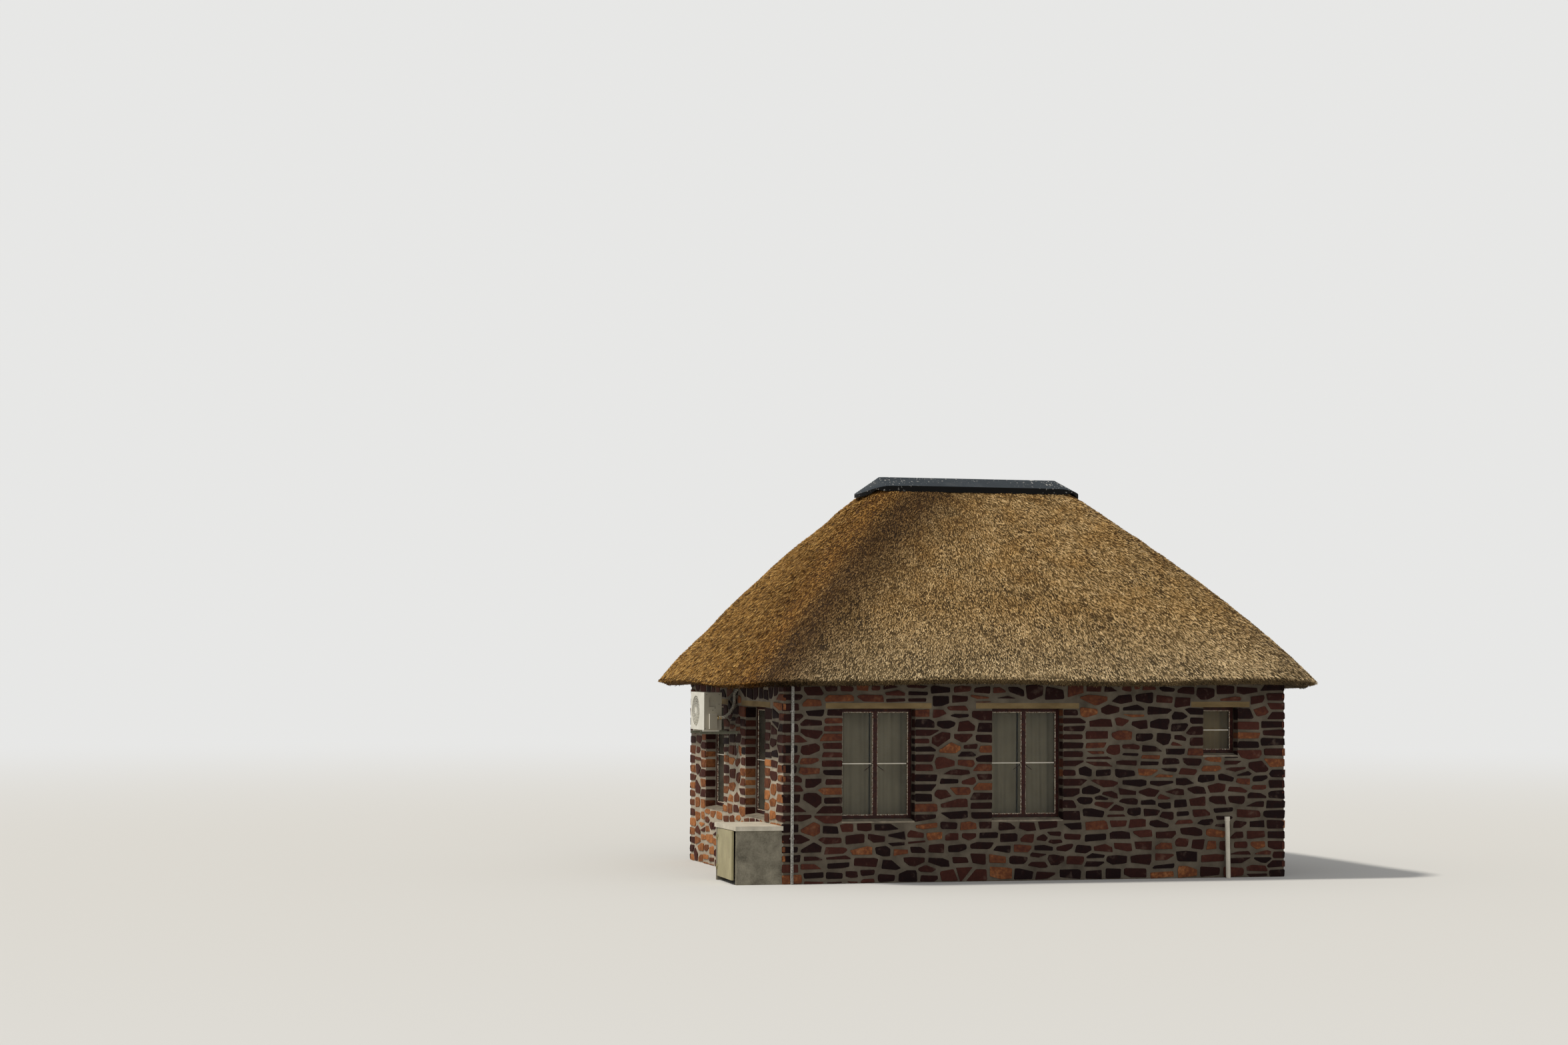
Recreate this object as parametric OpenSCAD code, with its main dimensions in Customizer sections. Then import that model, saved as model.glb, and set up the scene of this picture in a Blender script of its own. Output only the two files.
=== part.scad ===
// Rubble stone cottage with a thatched hip roof, rounded at its hips
// Millimetres. X runs along the front wall to the right, Y from the front to the back.
// The origin is the centre of the plan at the foot of the walls; the ground slopes, so the
// foot lies below the floor.

/* [Building] */
// Length of the front wall outside
building_l = 7300; // [6600:50:9000]
// Depth of the end walls outside
building_d = 5000; // [4700:50:6500]
// Thickness of the stone walls
wall_t = 350; // [280:10:420]
// Height of the floor above the foot of the walls
floor_h = 250; // [150:10:400]
// Height of the walls above the floor
wall_h = 2580; // [2450:10:2900]
// Thickness of the concrete floor slab
slab_t = 250; // [100:10:250]

/* [Windows] */
// Width of a tall window opening
tall_w = 1036; // [800:2:1100]
// Height of a tall window opening
tall_h = 1540; // [1200:10:1600]
// Width of a small window opening
small_w = 525; // [400:5:700]
// Height of a small window opening
small_h = 690; // [500:5:900]
// Height of the window heads above the floor
head_h = 2100; // [2050:10:2150]
// Setback of the window frames from the outer wall face
reveal = 160; // [100:5:200]
// Height of the small windows' heads above the others
small_head_up = 20; // [0:5:40]
// Distance of the first front window's middle from the left corner
front_first_in = 1340; // [1250:10:1400]
// Distance of the second front window's middle from the left corner
front_second_in = 3480; // [3200:10:3600]
// Distance of the small front window's middle from the right corner
front_small_in = 960; // [900:10:1200]
// Distance of the left wall's first window from the front corner
left_near_in = 1405; // [1350:5:1450]
// Distance of the left wall's second window from the back corner
left_far_in = 1390; // [1350:5:1450]
// Distance of the back windows from the back corners
back_in = 1340; // [1250:10:1500]
// Distance of the small window in the right wall from the front corner
right_small_in = 1435; // [1200:5:1500]
// Distance of the tall window in the right wall from the back corner
right_tall_in = 1400; // [1350:5:1500]
// Face width of the steel window frames
frame_w = 26; // [20:1:45]
// Depth of the steel window frames
frame_t = 36; // [28:1:45]
// Joint between a frame and its opening
frame_gap = 7; // [4:1:12]
// Face width of a sash rail
sash_w = 15; // [12:1:30]
// Height of the thin glazing bar across each pane
bar_h = 10; // [8:1:24]
// Thickness of the panes
glass_t = 4; // [3:1:6]
// Height of the precast lintels
lintel_h = 75; // [60:5:110]
// Bearing of a lintel on the wall at each side
lintel_bearing = 232; // [120:2:260]
// Bearing of the lintels over small windows
small_bearing = 178; // [100:2:200]
// Height of a sill at the frame
sill_h = 45; // [25:5:60]
// Fall of a sill towards the outside
sill_fall = 25; // [10:1:30]

/* [Curtains] */
// Thickness of a gathered curtain
curtain_t = 50; // [30:5:70]
// Reach of a curtain beyond its opening at each side
curtain_side = 110; // [60:5:140]
// Reach of a curtain below its opening
curtain_low = 120; // [50:5:160]
// Height of a curtain rail above the opening
rail_up = 80; // [50:5:120]
// Diameter of a curtain rail
rail_d = 19; // [12:1:28]
// Distance of a curtain's middle from the inner wall face
curtain_off = 65; // [60:5:90]

/* [Door] */
// Width of the doorway in the back wall
door_w = 880; // [800:5:960]
// Height of the doorway above the floor
door_h = 2090; // [2050:5:2150]
// Face width of the door frame
door_frame_w = 60; // [45:1:75]
// Depth of the door frame
door_frame_t = 95; // [70:5:120]
// Thickness of the door leaf
leaf_t = 42; // [36:1:50]
// Gap round the door leaf
leaf_gap = 4; // [3:1:6]

/* [Roof] */
// Reach of the eave beyond the walls
overhang = 560; // [480:5:620]
// Pitch of the poles and of the underside of the thatch
pitch = 45; // [42:0.5:48]
// Horizontal width of the cut face at the eave
cut_in = 170; // [120:5:220]
// Height of the cut face at the eave
cut_up = 90; // [60:5:120]
// Upright thickness of the thatch at the edge of its crest
thatch_top_t = 225; // [180:5:320]
// Half width of the thatch at its top
crest_half = 200; // [150:10:300]
// Fullness of the thatch between eave and crest, as a share of its rise
fullness = 0.2; // [0.05:0.01:0.3]
// Shift of the ridge towards the left end
ridge_shift = 185; // [0:5:250]
// Plan radius of the thatch at the eave corners
eave_r = 900; // [600:10:1000]
// Plan radius of the thatch at the top of the hips
crest_r = 240; // [200:10:500]
// Plan radius of the underside at the hips
under_r = 150; // [100:10:250]
// How far the hand-cut eave strays up and down
eave_wander = 22; // [0:1:30]
// How much lower the eave hangs at the ends than along the sides
eave_dip = 70; // [0:5:90]
// Diameter of the rafter poles
rafter_d = 100; // [80:2:120]
// Diameter of the hip poles
hip_d = 120; // [100:2:140]
// Diameter of the ridge pole
ridge_d = 120; // [100:2:140]
// Diameter of the wall plate poles
plate_d = 100; // [80:2:120]
// Largest spacing of the rafters
rafter_pitch = 725; // [600:5:900]
// Distance of the last rafter from the corner of the walls
rafter_edge = 400; // [350:10:500]
// Depth left for laths between poles and thatch
lath_d = 25; // [20:1:35]
// Clearance of a rafter over the outer edge of the wall
seat_gap = 12; // [5:1:20]
// Reach of the rafter tails beyond the wall
tail_reach = 130; // [60:5:200]
// Gap between poles that meet
pole_gap = 3; // [1:1:8]

/* [Ridge cap] */
// Reach of the cap's ends beyond the crest of the thatch
cap_end = 335; // [200:5:400]
// Half width of the cap at its foot
cap_half_w = 385; // [300:5:450]
// How much shorter the cap's crest is than the crest of the thatch at each end
cap_crest_in = 5; // [5:5:100]
// Height of the cap's upright edge
cap_lip = 85; // [50:5:100]
// Height of the cap's crest over the crest of the thatch
cap_up = 80; // [70:5:140]
// Dip of the cap's edge over the left hip end; over the right one it is half as much
cap_dip = 85; // [60:5:120]
// How much lower the cap's upright edge is over the hip ends
cap_thin = 35; // [0:5:45]

/* [Air conditioner] */
// Width of the outdoor unit along the wall
ac_w = 750; // [650:10:850]
// Depth of the outdoor unit
ac_d = 255; // [220:5:300]
// Height of the outdoor unit
ac_h = 550; // [480:10:580]
// Gap between the unit and the wall
ac_gap = 262; // [180:2:280]
// Height of the unit's foot above the floor
ac_z = 1730; // [1600:10:1740]
// Place of the unit's middle along the wall
ac_y = 125; // [0:5:150]
// Section of the bracket's steel
bracket_s = 38; // [30:1:45]
// Diameter of the round fan opening
fan_d = 430; // [380:5:440]
// Distance of the fan opening from the unit's edge
fan_edge = 65; // [50:5:100]
// Diameter of the insulated pipes
ac_pipe_d = 44; // [30:1:60]

/* [Locker] */
// Reach of the locker from the left wall
locker_d = 640; // [500:10:800]
// Width of the locker along the wall
locker_w = 1070; // [900:10:1150]
// Height of the locker's top above the floor
locker_h = 530; // [450:10:550]
// Thickness of the locker's cheeks
locker_t = 65; // [50:1:110]
// Thickness of the locker's top slab
locker_top_t = 60; // [45:1:90]
// Reach of the top slab beyond the cheeks
locker_lip = 20; // [0:1:40]
// Thickness of the steel door with its folded edges
locker_door_t = 28; // [22:1:40]
// Thickness of the door's sheet
sheet_t = 3; // [2:0.5:5]
// Gap round the locker door
locker_gap = 8; // [6:1:14]
// Angle by which the locker door stands ajar
door_ajar = 3; // [1:0.5:10]
// Height of the locker door's foot above the ground
locker_foot = 60; // [30:5:100]

/* [Pipes] */
// Diameter of the upright pipe by the front corner
pipe_d = 42; // [32:1:50]
// Distance of the upright pipe from the front left corner
pipe_x = 120; // [60:5:200]
// Diameter of the short pipe at the front
stub_d = 65; // [50:1:80]
// Height of the short pipe above the floor
stub_h = 600; // [400:10:700]
// Distance of the short pipe from the front right corner
stub_in = 890; // [750:10:1050]

/* [Hidden] */

half_l = building_l / 2;
half_d = building_d / 2;
front_tall_1 = front_first_in - half_l;
front_tall_2 = front_second_in - half_l;
front_small = half_l - front_small_in;
left_near = left_near_in - half_d;
left_far = half_d - left_far_in;
back_side = half_l - back_in;
right_small = right_small_in - half_d;
right_tall = half_d - right_tall_in;
wall_top = floor_h + wall_h;
eps = 1;
far = 20000;

function flat(list) = [for (part = list) for (item = part) item];

// Roof heights, all at an inset measured in plan from the eave's edge
eave_a = half_l + overhang;
eave_b = half_d + overhang;
rise_k = tan(pitch);
along = 1 / cos(pitch);
rafter_seat_z = wall_top + seat_gap + rafter_d / 2 * along;
function rafter_z(inset) = rafter_seat_z + (inset - overhang) * rise_k;
function under_z(inset) = rafter_z(inset) + (rafter_d / 2 + lath_d) * along;
eave_z = under_z(cut_in) + cut_up;
crest_inset = eave_b - crest_half;
thatch_rise = under_z(crest_inset) + thatch_top_t - eave_z;
function outer_z(inset) =
    let (u = inset / crest_inset) eave_z + thatch_rise * (u + fullness * u * (1 - u));
// The ridge lies towards the left end, so above the walls the rings shift with their inset,
// and the left end is a little steeper than the right one
shift_rate = ridge_shift / (crest_inset - overhang);
function shift_line(inset) = -shift_rate * (inset - overhang);
function shift_at(inset) = min(0, shift_line(inset));

// Points round a rounded rectangle, with some along the straights
corner_n = 7;
side_n = 7;
function corner(q, a, b, r) =
    let (sx = (q == 0 || q == 3) ? 1 : -1, sy = q < 2 ? 1 : -1)
    [for (i = [0:corner_n]) let (w = 90 * (q + i / corner_n))
        [sx * (a - r) + r * cos(w), sy * (b - r) + r * sin(w)]];
function straight(p, q) = [for (i = [1:side_n - 1]) p + (q - p) * i / side_n];
function round_rect(a, b, r) =
    let (c = [for (q = [0:3]) corner(q, a, b, r)])
    flat([for (q = [0:3]) concat(c[q], straight(c[q][corner_n], c[(q + 1) % 4][0]))]);
function lift(points, x, z) = [for (p = points) [p[0] + x, p[1], z]];

// Closed skin over a list of rings, with a fan of facets over each end
module skin(rings) {
    n = len(rings[0]);
    last = len(rings) - 1;
    middle = function(ring) [for (axis = [0:2])
        (min([for (p = ring) p[axis]]) + max([for (p = ring) p[axis]])) / 2];
    sides = flat([for (k = [0:last - 1]) flat([for (i = [0:n - 1])
        let (j = (i + 1) % n)
        [[k * n + i, k * n + j, (k + 1) * n + j], [k * n + i, (k + 1) * n + j, (k + 1) * n + i]]])]);
    ends = flat([for (i = [0:n - 1]) let (j = (i + 1) % n)
        [[j, i, (last + 1) * n], [last * n + i, last * n + j, (last + 1) * n + 1]]]);
    polyhedron(points = concat(flat(rings), [middle(rings[0]), middle(rings[last])]), convexity = 6,
        faces = concat(sides, ends));
}

// The hand-cut eave strays a little and hangs lower at the ends; this fades out up the slope
function stray(p) = eave_dip * (0.5 - pow(abs(p[0]) / eave_a, 12))
    + eave_wander * (sin(p[0] * 0.085 + 178) + sin(p[1] * 0.11 + 30)) / 1.4;
function wave(points, share) = [for (p = points) [p[0], p[1], p[2] + stray(p) * share]];

outer_steps = 12;
inner_steps = 4;
function outer_ring(inset) =
    let (u = inset / crest_inset, b = eave_b - inset)
    wave(lift(round_rect(eave_a - inset, b, min(b - eps, eave_r + (crest_r - eave_r) * u)),
        shift_at(inset), outer_z(inset)), pow(1 - u, 3));
// The underside turns round the corners as widely as the eave at its lip, and closely over the hips
function inner_ring(inset, share) =
    let (b = eave_b - inset, lip_r = eave_r - cut_in)
    wave(lift(round_rect(eave_a - inset, b, min(b - eps, under_r + (lip_r - under_r) * share)),
        shift_at(inset), under_z(inset)), share);
tail_inset = overhang - tail_reach;
level_inset = tail_inset - 30;
under_top = eave_b - 70;

module thatch() {
    color([0.62, 0.47, 0.27])
        skin(concat(
            [for (k = [outer_steps:-1:0]) outer_ring(crest_inset * k / outer_steps)],
            [inner_ring(cut_in, 1)],
            [for (k = [0:inner_steps])
                inner_ring(level_inset + (under_top - level_inset) * k / inner_steps, 0)]));
}

// Height of the thatch's outside over a point of the plan; its rounded hips lie a little lower
function inset_at(x, y) = min(crest_inset, eave_b - abs(y),
    x > 0 ? (eave_a - x + shift_rate * overhang) / (1 + shift_rate)
        : (eave_a + x - shift_rate * overhang) / (1 - shift_rate));
function top_z(x, y) = outer_z(inset_at(x, y));

// The cap lies on the thatch, and its ends reach a little out over the hip ends
cap_edge_inset = eave_b - cap_half_w;
cap_shift = -ridge_shift;
thatch_a = eave_a - crest_inset;
cap_half_l = thatch_a + cap_end;
cap_crest_half = thatch_a - cap_crest_in;
cap_crest_w = 75;
cap_seat = 10;
cap_edge_z = outer_z(cap_edge_inset) + cap_seat;
cap_crest_z = outer_z(crest_inset) + cap_up;
cap_level = cap_half_l - cap_half_w * 1.2;
cap_round = 0.9;
function end_pull(x) = pow(max(0, abs(x - cap_shift) - cap_level) / (cap_half_l - cap_level), 2);
function edge_z(p) = cap_edge_z - (p[0] < cap_shift ? cap_dip : cap_dip / 2) * end_pull(p[0]);
function lip_z(p) = edge_z(p) + cap_lip - cap_thin * end_pull(p[0]);
// Plan of the cap a share of the way from its crest to its edge
function cap_plan(share) =
    let (a = cap_crest_half + (cap_half_l - cap_crest_half) * share,
        b = cap_crest_w + (cap_half_w - cap_crest_w) * share)
    lift(round_rect(a, b, b * cap_round), cap_shift, 0);
function cap_under(share) =
    [for (p = cap_plan(share)) [p[0], p[1], max(top_z(p[0], p[1]) + cap_seat, edge_z(p))]];
// The underside bends where the end and the side of the flat crest of the thatch lie
end_share = cap_crest_in / (cap_end + cap_crest_in);
side_share = (crest_half - cap_crest_w) / (cap_half_w - cap_crest_w);
cap_shares = [1, (1 + side_share) / 2, side_share, (end_share + side_share) / 2, end_share, 0];
// The top is folded: a crest, flat slopes and an upright edge
module ridge_cap() {
    color([0.23, 0.24, 0.26])
        skin(concat(
            [[for (p = cap_plan(0)) [p[0], p[1], cap_crest_z]]],
            [[for (p = cap_plan(1)) [p[0], p[1], lip_z(p)]]],
            [for (share = cap_shares) cap_under(share)]));
}

// Places of the openings: centre along the wall, width, height
// The walls are named by the quarter turns that bring the front wall to them
front_list = [[front_tall_1, tall_w, tall_h], [front_tall_2, tall_w, tall_h],
    [front_small, small_w, small_h]];
left_list = [[-left_near, tall_w, tall_h], [-left_far, tall_w, tall_h]];
back_list = [[back_side, tall_w, tall_h], [-back_side, tall_w, tall_h]];
right_list = [[right_small, small_w, small_h], [right_tall, tall_w, tall_h]];

// Turns a child drawn against the front wall, its outer face on Y = 0, to stand against another wall
module at_front() { translate([0, -half_d, 0]) children(); }
module at_back() { rotate([0, 0, 180]) translate([0, -half_d, 0]) children(); }
module at_left() { rotate([0, 0, -90]) translate([0, -half_l, 0]) children(); }
module at_right() { rotate([0, 0, 90]) translate([0, -half_l, 0]) children(); }

function head_z(o) = floor_h + head_h + (o[1] > small_w ? 0 : small_head_up);
function bearing(o) = o[1] > small_w ? lintel_bearing : small_bearing;

// A wall drawn with its outer face on Y = 0, with its openings and the pockets of its lintels
module stone_wall(length, openings) {
    difference() {
        translate([-length / 2, 0, 0]) cube([length, wall_t, wall_top]);
        for (o = openings) {
            translate([o[0] - o[1] / 2, -eps, head_z(o) - o[2]]) cube([o[1], wall_t + 2 * eps, o[2] + eps]);
            translate([o[0] - o[1] / 2 - bearing(o), -eps, head_z(o)])
                cube([o[1] + 2 * bearing(o), wall_t + 2 * eps, lintel_h]);
        }
    }
}

module floor_slab() {
    color([0.55, 0.53, 0.5])
        translate([-half_l + wall_t, -half_d + wall_t, floor_h - slab_t])
            cube([building_l - 2 * wall_t, building_d - 2 * wall_t, slab_t]);
}

module front_wall() {
    color([0.45, 0.3, 0.24]) at_front() stone_wall(building_l, front_list);
}

door_lintel_z = floor_h + door_h;
module back_wall() {
    color([0.45, 0.3, 0.24]) at_back() difference() {
        stone_wall(building_l, back_list);
        translate([-door_w / 2, -eps, floor_h]) cube([door_w, wall_t + 2 * eps, door_h + eps]);
        translate([-door_w / 2 - lintel_bearing, -eps, door_lintel_z])
            cube([door_w + 2 * lintel_bearing, wall_t + 2 * eps, lintel_h]);
    }
}

module left_wall() {
    color([0.45, 0.3, 0.24]) difference() {
        at_left() stone_wall(building_d - 2 * wall_t, left_list);
        at_unit() translate(pipe_hole) rotate([-90, 0, 0])
            translate([0, 0, -eps]) cylinder(d = ac_pipe_d + 2 * hole_gap, h = wall_t + 2 * eps, $fn = 32);
    }
}

module right_wall() {
    color([0.45, 0.3, 0.24]) at_right() stone_wall(building_d - 2 * wall_t, right_list);
}

module lintel_row(openings) {
    for (o = openings)
        translate([o[0] - o[1] / 2 - bearing(o), 0, head_z(o)])
            cube([o[1] + 2 * bearing(o), wall_t, lintel_h]);
}

module lintels() {
    color([0.72, 0.66, 0.53]) {
        at_front() lintel_row(front_list);
        at_left() lintel_row(left_list);
        at_right() lintel_row(right_list);
        at_back() {
            lintel_row(back_list);
            translate([-door_w / 2 - lintel_bearing, 0, door_lintel_z])
                cube([door_w + 2 * lintel_bearing, wall_t, lintel_h]);
        }
    }
}

// Mortar sills under the frames, falling outwards, and level inside
module sill_row(openings) {
    for (o = openings)
        translate([o[0] - o[1] / 2, 0, head_z(o) - o[2]])
            rotate([90, 0, 90]) linear_extrude(o[1])
                polygon([[0, 0], [wall_t, 0], [wall_t, sill_h], [reveal, sill_h], [0, sill_h - sill_fall]]);
}

module window_sills() {
    color([0.66, 0.6, 0.5]) {
        at_front() sill_row(front_list);
        at_left() sill_row(left_list);
        at_right() sill_row(right_list);
        at_back() sill_row(back_list);
    }
}

// A steel window: outer frame, sashes side by side, a thin bar across each pane at mid height
function frame_bottom(o) = head_z(o) - o[2] + sill_h;
function sashes(o) = o[1] > small_w ? 2 : 1;
module ring_xz(x, z, w, h, face, depth) {
    difference() {
        translate([x, 0, z]) cube([w, depth, h]);
        translate([x + face, -eps, z + face]) cube([w - 2 * face, depth + 2 * eps, h - 2 * face]);
    }
}

// A handle and the end of a stay sit on each sash, inside
sash_thinner = 8;
handle_h = 60;
handle_t = 14;
handle_down = 160;
stay_s = 10;
stay_h = 150;
stay_down = 250;
module steel_window(o) {
    low = frame_bottom(o) + frame_gap;
    high = head_z(o) - frame_gap;
    w = o[1] - 2 * frame_gap;
    n = sashes(o);
    bay = (w - frame_w * (n + 1)) / n;
    mid = (low + high) / 2;
    color([0.24, 0.1, 0.08]) translate([o[0] - w / 2, reveal, 0]) {
        ring_xz(0, low, w, high - low, frame_w, frame_t);
        for (k = [0:n - 1]) {
            x = frame_w + k * (bay + frame_w);
            if (k > 0)
                translate([x - frame_w, 0, low]) cube([frame_w, frame_t, high - low]);
            ring_xz(x - eps, low + frame_w - eps, bay + 2 * eps, high - low - 2 * frame_w + 2 * eps,
                sash_w, frame_t - sash_thinner);
            translate([x, frame_t / 2 - glass_t / 2 - bar_h, mid - bar_h / 2]) cube([bay, bar_h, bar_h]);
        }
        for (k = [0:n - 1]) {
            side = n == 1 ? 1 : k;
            x = frame_w + k * (bay + frame_w) + (side == 1 && n == 2 ? 0 : bay - sash_w);
            translate([x, frame_t - sash_thinner - eps, mid - handle_down])
                cube([sash_w, handle_t, handle_h]);
            translate([x + (sash_w - stay_s) / 2, frame_t - sash_thinner + handle_t - 2 * eps,
                mid - stay_down])
                cube([stay_s, stay_s, stay_h]);
        }
    }
}

module pane_row(openings) {
    for (o = openings) {
        low = frame_bottom(o) + frame_gap + frame_w + sash_w;
        high = head_z(o) - frame_gap - frame_w - sash_w;
        w = o[1] - 2 * frame_gap;
        n = sashes(o);
        bay = (w - frame_w * (n + 1)) / n;
        for (k = [0:n - 1])
            translate([o[0] - w / 2 + frame_w + k * (bay + frame_w) + sash_w,
                reveal + frame_t / 2 - glass_t / 2, low])
                cube([bay - 2 * sash_w, glass_t, high - low]);
    }
}

module front_window_1() { at_front() steel_window(front_list[0]); }
module front_window_2() { at_front() steel_window(front_list[1]); }
module front_window_small() { at_front() steel_window(front_list[2]); }
module left_window_near() { at_left() steel_window(left_list[0]); }
module left_window_far() { at_left() steel_window(left_list[1]); }
module back_window_left() { at_back() steel_window(back_list[0]); }
module back_window_right() { at_back() steel_window(back_list[1]); }
module right_window_small() { at_right() steel_window(right_list[0]); }
module right_window_tall() { at_right() steel_window(right_list[1]); }

module front_panes() { color([0.5, 0.55, 0.55, 0.4]) at_front() pane_row(front_list); }
module left_panes() { color([0.5, 0.55, 0.55, 0.4]) at_left() pane_row(left_list); }
module back_panes() { color([0.5, 0.55, 0.55, 0.4]) at_back() pane_row(back_list); }
module right_panes() { color([0.5, 0.55, 0.55, 0.4]) at_right() pane_row(right_list); }

// Curtains hang inside, a pair to a tall window and one to a small one
function rail_z(o) = head_z(o) + rail_up;
curtain_mid_gap = 20;
curtain_y = wall_t + curtain_off;
module curtain_row(openings) {
    for (o = openings) {
        n = sashes(o);
        span = o[1] + 2 * curtain_side;
        w = (span - (n - 1) * curtain_mid_gap) / n;
        low = head_z(o) - o[2] - curtain_low;
        for (k = [0:n - 1])
            translate([o[0] - span / 2 + k * (w + curtain_mid_gap), curtain_y - curtain_t / 2, low])
                cube([w, curtain_t, rail_z(o) - rail_d / 2 - pole_gap - low]);
    }
}

module front_curtains() { color([0.6, 0.58, 0.46]) at_front() curtain_row(front_list); }
module left_curtains() { color([0.6, 0.58, 0.46]) at_left() curtain_row(left_list); }
module back_curtains() { color([0.6, 0.58, 0.46]) at_back() curtain_row(back_list); }
module right_curtains() { color([0.6, 0.58, 0.46]) at_right() curtain_row(right_list); }

// A rail on two brackets that are fixed to the inner face of the wall
rail_over = 60;
module rail_row(openings) {
    for (o = openings) {
        half = o[1] / 2 + curtain_side + rail_over;
        translate([o[0] - half, curtain_y, rail_z(o)])
            rotate([0, 90, 0]) cylinder(d = rail_d, h = 2 * half, $fn = 24);
        for (side = [-1, 1])
            translate([o[0] + side * (half - rail_over / 2), wall_t, rail_z(o)])
                rotate([-90, 0, 0]) cylinder(d = rail_d * 0.8, h = curtain_off, $fn = 20);
    }
}

module curtain_rails() {
    color([0.5, 0.4, 0.28]) {
        at_front() rail_row(front_list);
        at_left() rail_row(left_list);
        at_right() rail_row(right_list);
        at_back() rail_row(back_list);
    }
}

// A round pole from one point to another
module pole(p, q, d) {
    v = q - p;
    run = norm([v[0], v[1]]);
    translate(p) rotate([0, atan2(run, v[2]), atan2(v[1], v[0])]) cylinder(d = d, h = norm(v), $fn = 32);
}

// Wall plates lie on the walls where the rafters' undersides touch them
plate_z = wall_top + plate_d / 2;
// Slopes of the two ends, left then right, and how far in from a wall's face its plate lies
left_k = rise_k / (1 - shift_rate);
right_k = rise_k / (1 + shift_rate);
function plate_in(k) = (plate_z + (plate_d + rafter_d) / 2 * sqrt(1 + k * k) - rafter_seat_z) / k;
hip_k = under_r * (1 - cos(45));
plate_stop = hip_d * 0.75 + plate_d / 2 + pole_gap;
module wall_plates() {
    left_x = -half_l + plate_in(left_k);
    right_x = half_l - plate_in(right_k);
    y = half_d - plate_in(rise_k);
    color([0.5, 0.38, 0.25]) {
        for (s = [-1, 1])
            pole([left_x + plate_stop, s * y, plate_z], [right_x - plate_stop, s * y, plate_z], plate_d);
        for (x = [left_x, right_x])
            pole([x, -y + plate_stop, plate_z], [x, y - plate_stop, plate_z], plate_d);
    }
}

// Plan line of an end slope at an inset from the eave
function end_x(side, inset) = side * (eave_a - inset) + shift_line(inset);
ridge_face = ridge_d / 2 + pole_gap;
hip_side = (hip_d / 2 + pole_gap) * sqrt(2);
ridge_inset = eave_b - ridge_face;

// Plan of the ground that one slope's rafters cover, clear of the hips and the ridge
module long_slope_plan() {
    translate([0, 0, floor_h]) linear_extrude(far)
        polygon([[end_x(-1, tail_inset) + hip_side, -eave_b + tail_inset],
            [end_x(1, tail_inset) - hip_side, -eave_b + tail_inset],
            [end_x(1, ridge_inset) - hip_side, -ridge_face],
            [end_x(-1, ridge_inset) + hip_side, -ridge_face]]);
}

// Middles of a wall's rafters, evenly spaced between its outer two
function rafter_bays(half_length) = ceil(2 * (half_length - rafter_edge) / rafter_pitch);
function rafter_step(half_length) = 2 * (half_length - rafter_edge) / rafter_bays(half_length);
function rafter_places(half_length) =
    [for (k = [0:rafter_bays(half_length)]) rafter_edge - half_length + k * rafter_step(half_length)];

module long_rafters() {
    intersection() {
        for (x = rafter_places(half_l)) pole([x, -eave_b, rafter_z(0)], [x, 0, rafter_z(eave_b)], rafter_d);
        long_slope_plan();
    }
}

module front_rafters() { color([0.5, 0.38, 0.25]) long_rafters(); }
module back_rafters() { color([0.5, 0.38, 0.25]) mirror([0, 1, 0]) long_rafters(); }

// The end rafters run to the hips, and the middle one to the end of the ridge pole
module end_slope_plan(side) {
    top = ridge_inset - hip_side;
    reach = eave_b - tail_inset - hip_side;
    translate([0, 0, floor_h]) linear_extrude(far)
        polygon([[end_x(side, tail_inset), -reach], [end_x(side, tail_inset), reach],
            [end_x(side, top - hip_side), ridge_face + hip_side - hip_side / 2],
            [end_x(side, top - hip_side), -ridge_face - hip_side + hip_side / 2]]);
}

module end_rafters(side) {
    intersection() {
        for (y = rafter_places(half_d))
            pole([end_x(side, 0), y, rafter_z(0)], [end_x(side, eave_b), y, rafter_z(eave_b)], rafter_d);
        end_slope_plan(side);
    }
}

module left_rafters() { color([0.5, 0.38, 0.25]) end_rafters(-1); }
module right_rafters() { color([0.5, 0.38, 0.25]) end_rafters(1); }

// Hip poles stand on the corners of the walls and end against the ridge pole
hip_slope = sqrt(1 + rise_k * rise_k / 2);
hip_drop = (lath_d + hip_d / 2) * hip_slope;
function hip_point(sx, sy, inset) =
    [end_x(sx, inset) - sx * hip_k, sy * (eave_b - inset - hip_k), under_z(inset) - hip_drop];
hip_foot = overhang + (wall_top + hip_d / 2 / hip_slope + hip_drop + pole_gap - under_z(overhang)) / rise_k;
hip_top = ridge_inset - hip_k;
module hip_poles() {
    color([0.47, 0.35, 0.23])
        for (sx = [-1, 1]) for (sy = [-1, 1])
            pole(hip_point(sx, sy, hip_foot), hip_point(sx, sy, hip_top - hip_d * 0.6), hip_d);
}

ridge_z = rafter_z(eave_b) - ridge_d / 2;
module ridge_pole() {
    color([0.47, 0.35, 0.23])
        pole([end_x(-1, ridge_inset), 0, ridge_z], [end_x(1, ridge_inset), 0, ridge_z], ridge_d);
}

// Mortar between the rafters closes the gap over the outer edge of the wall
fill_t = plate_in(left_k) - plate_d / 2 - pole_gap;
function fill_top(in) = under_z(overhang + in) - lath_d * along;
module fill_piece(start, length) {
    translate([start, 0, 0]) rotate([90, 0, 90]) linear_extrude(length)
        polygon([[0, wall_top], [fill_t, wall_top], [fill_t, fill_top(fill_t)], [0, fill_top(0)]]);
}

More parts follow.
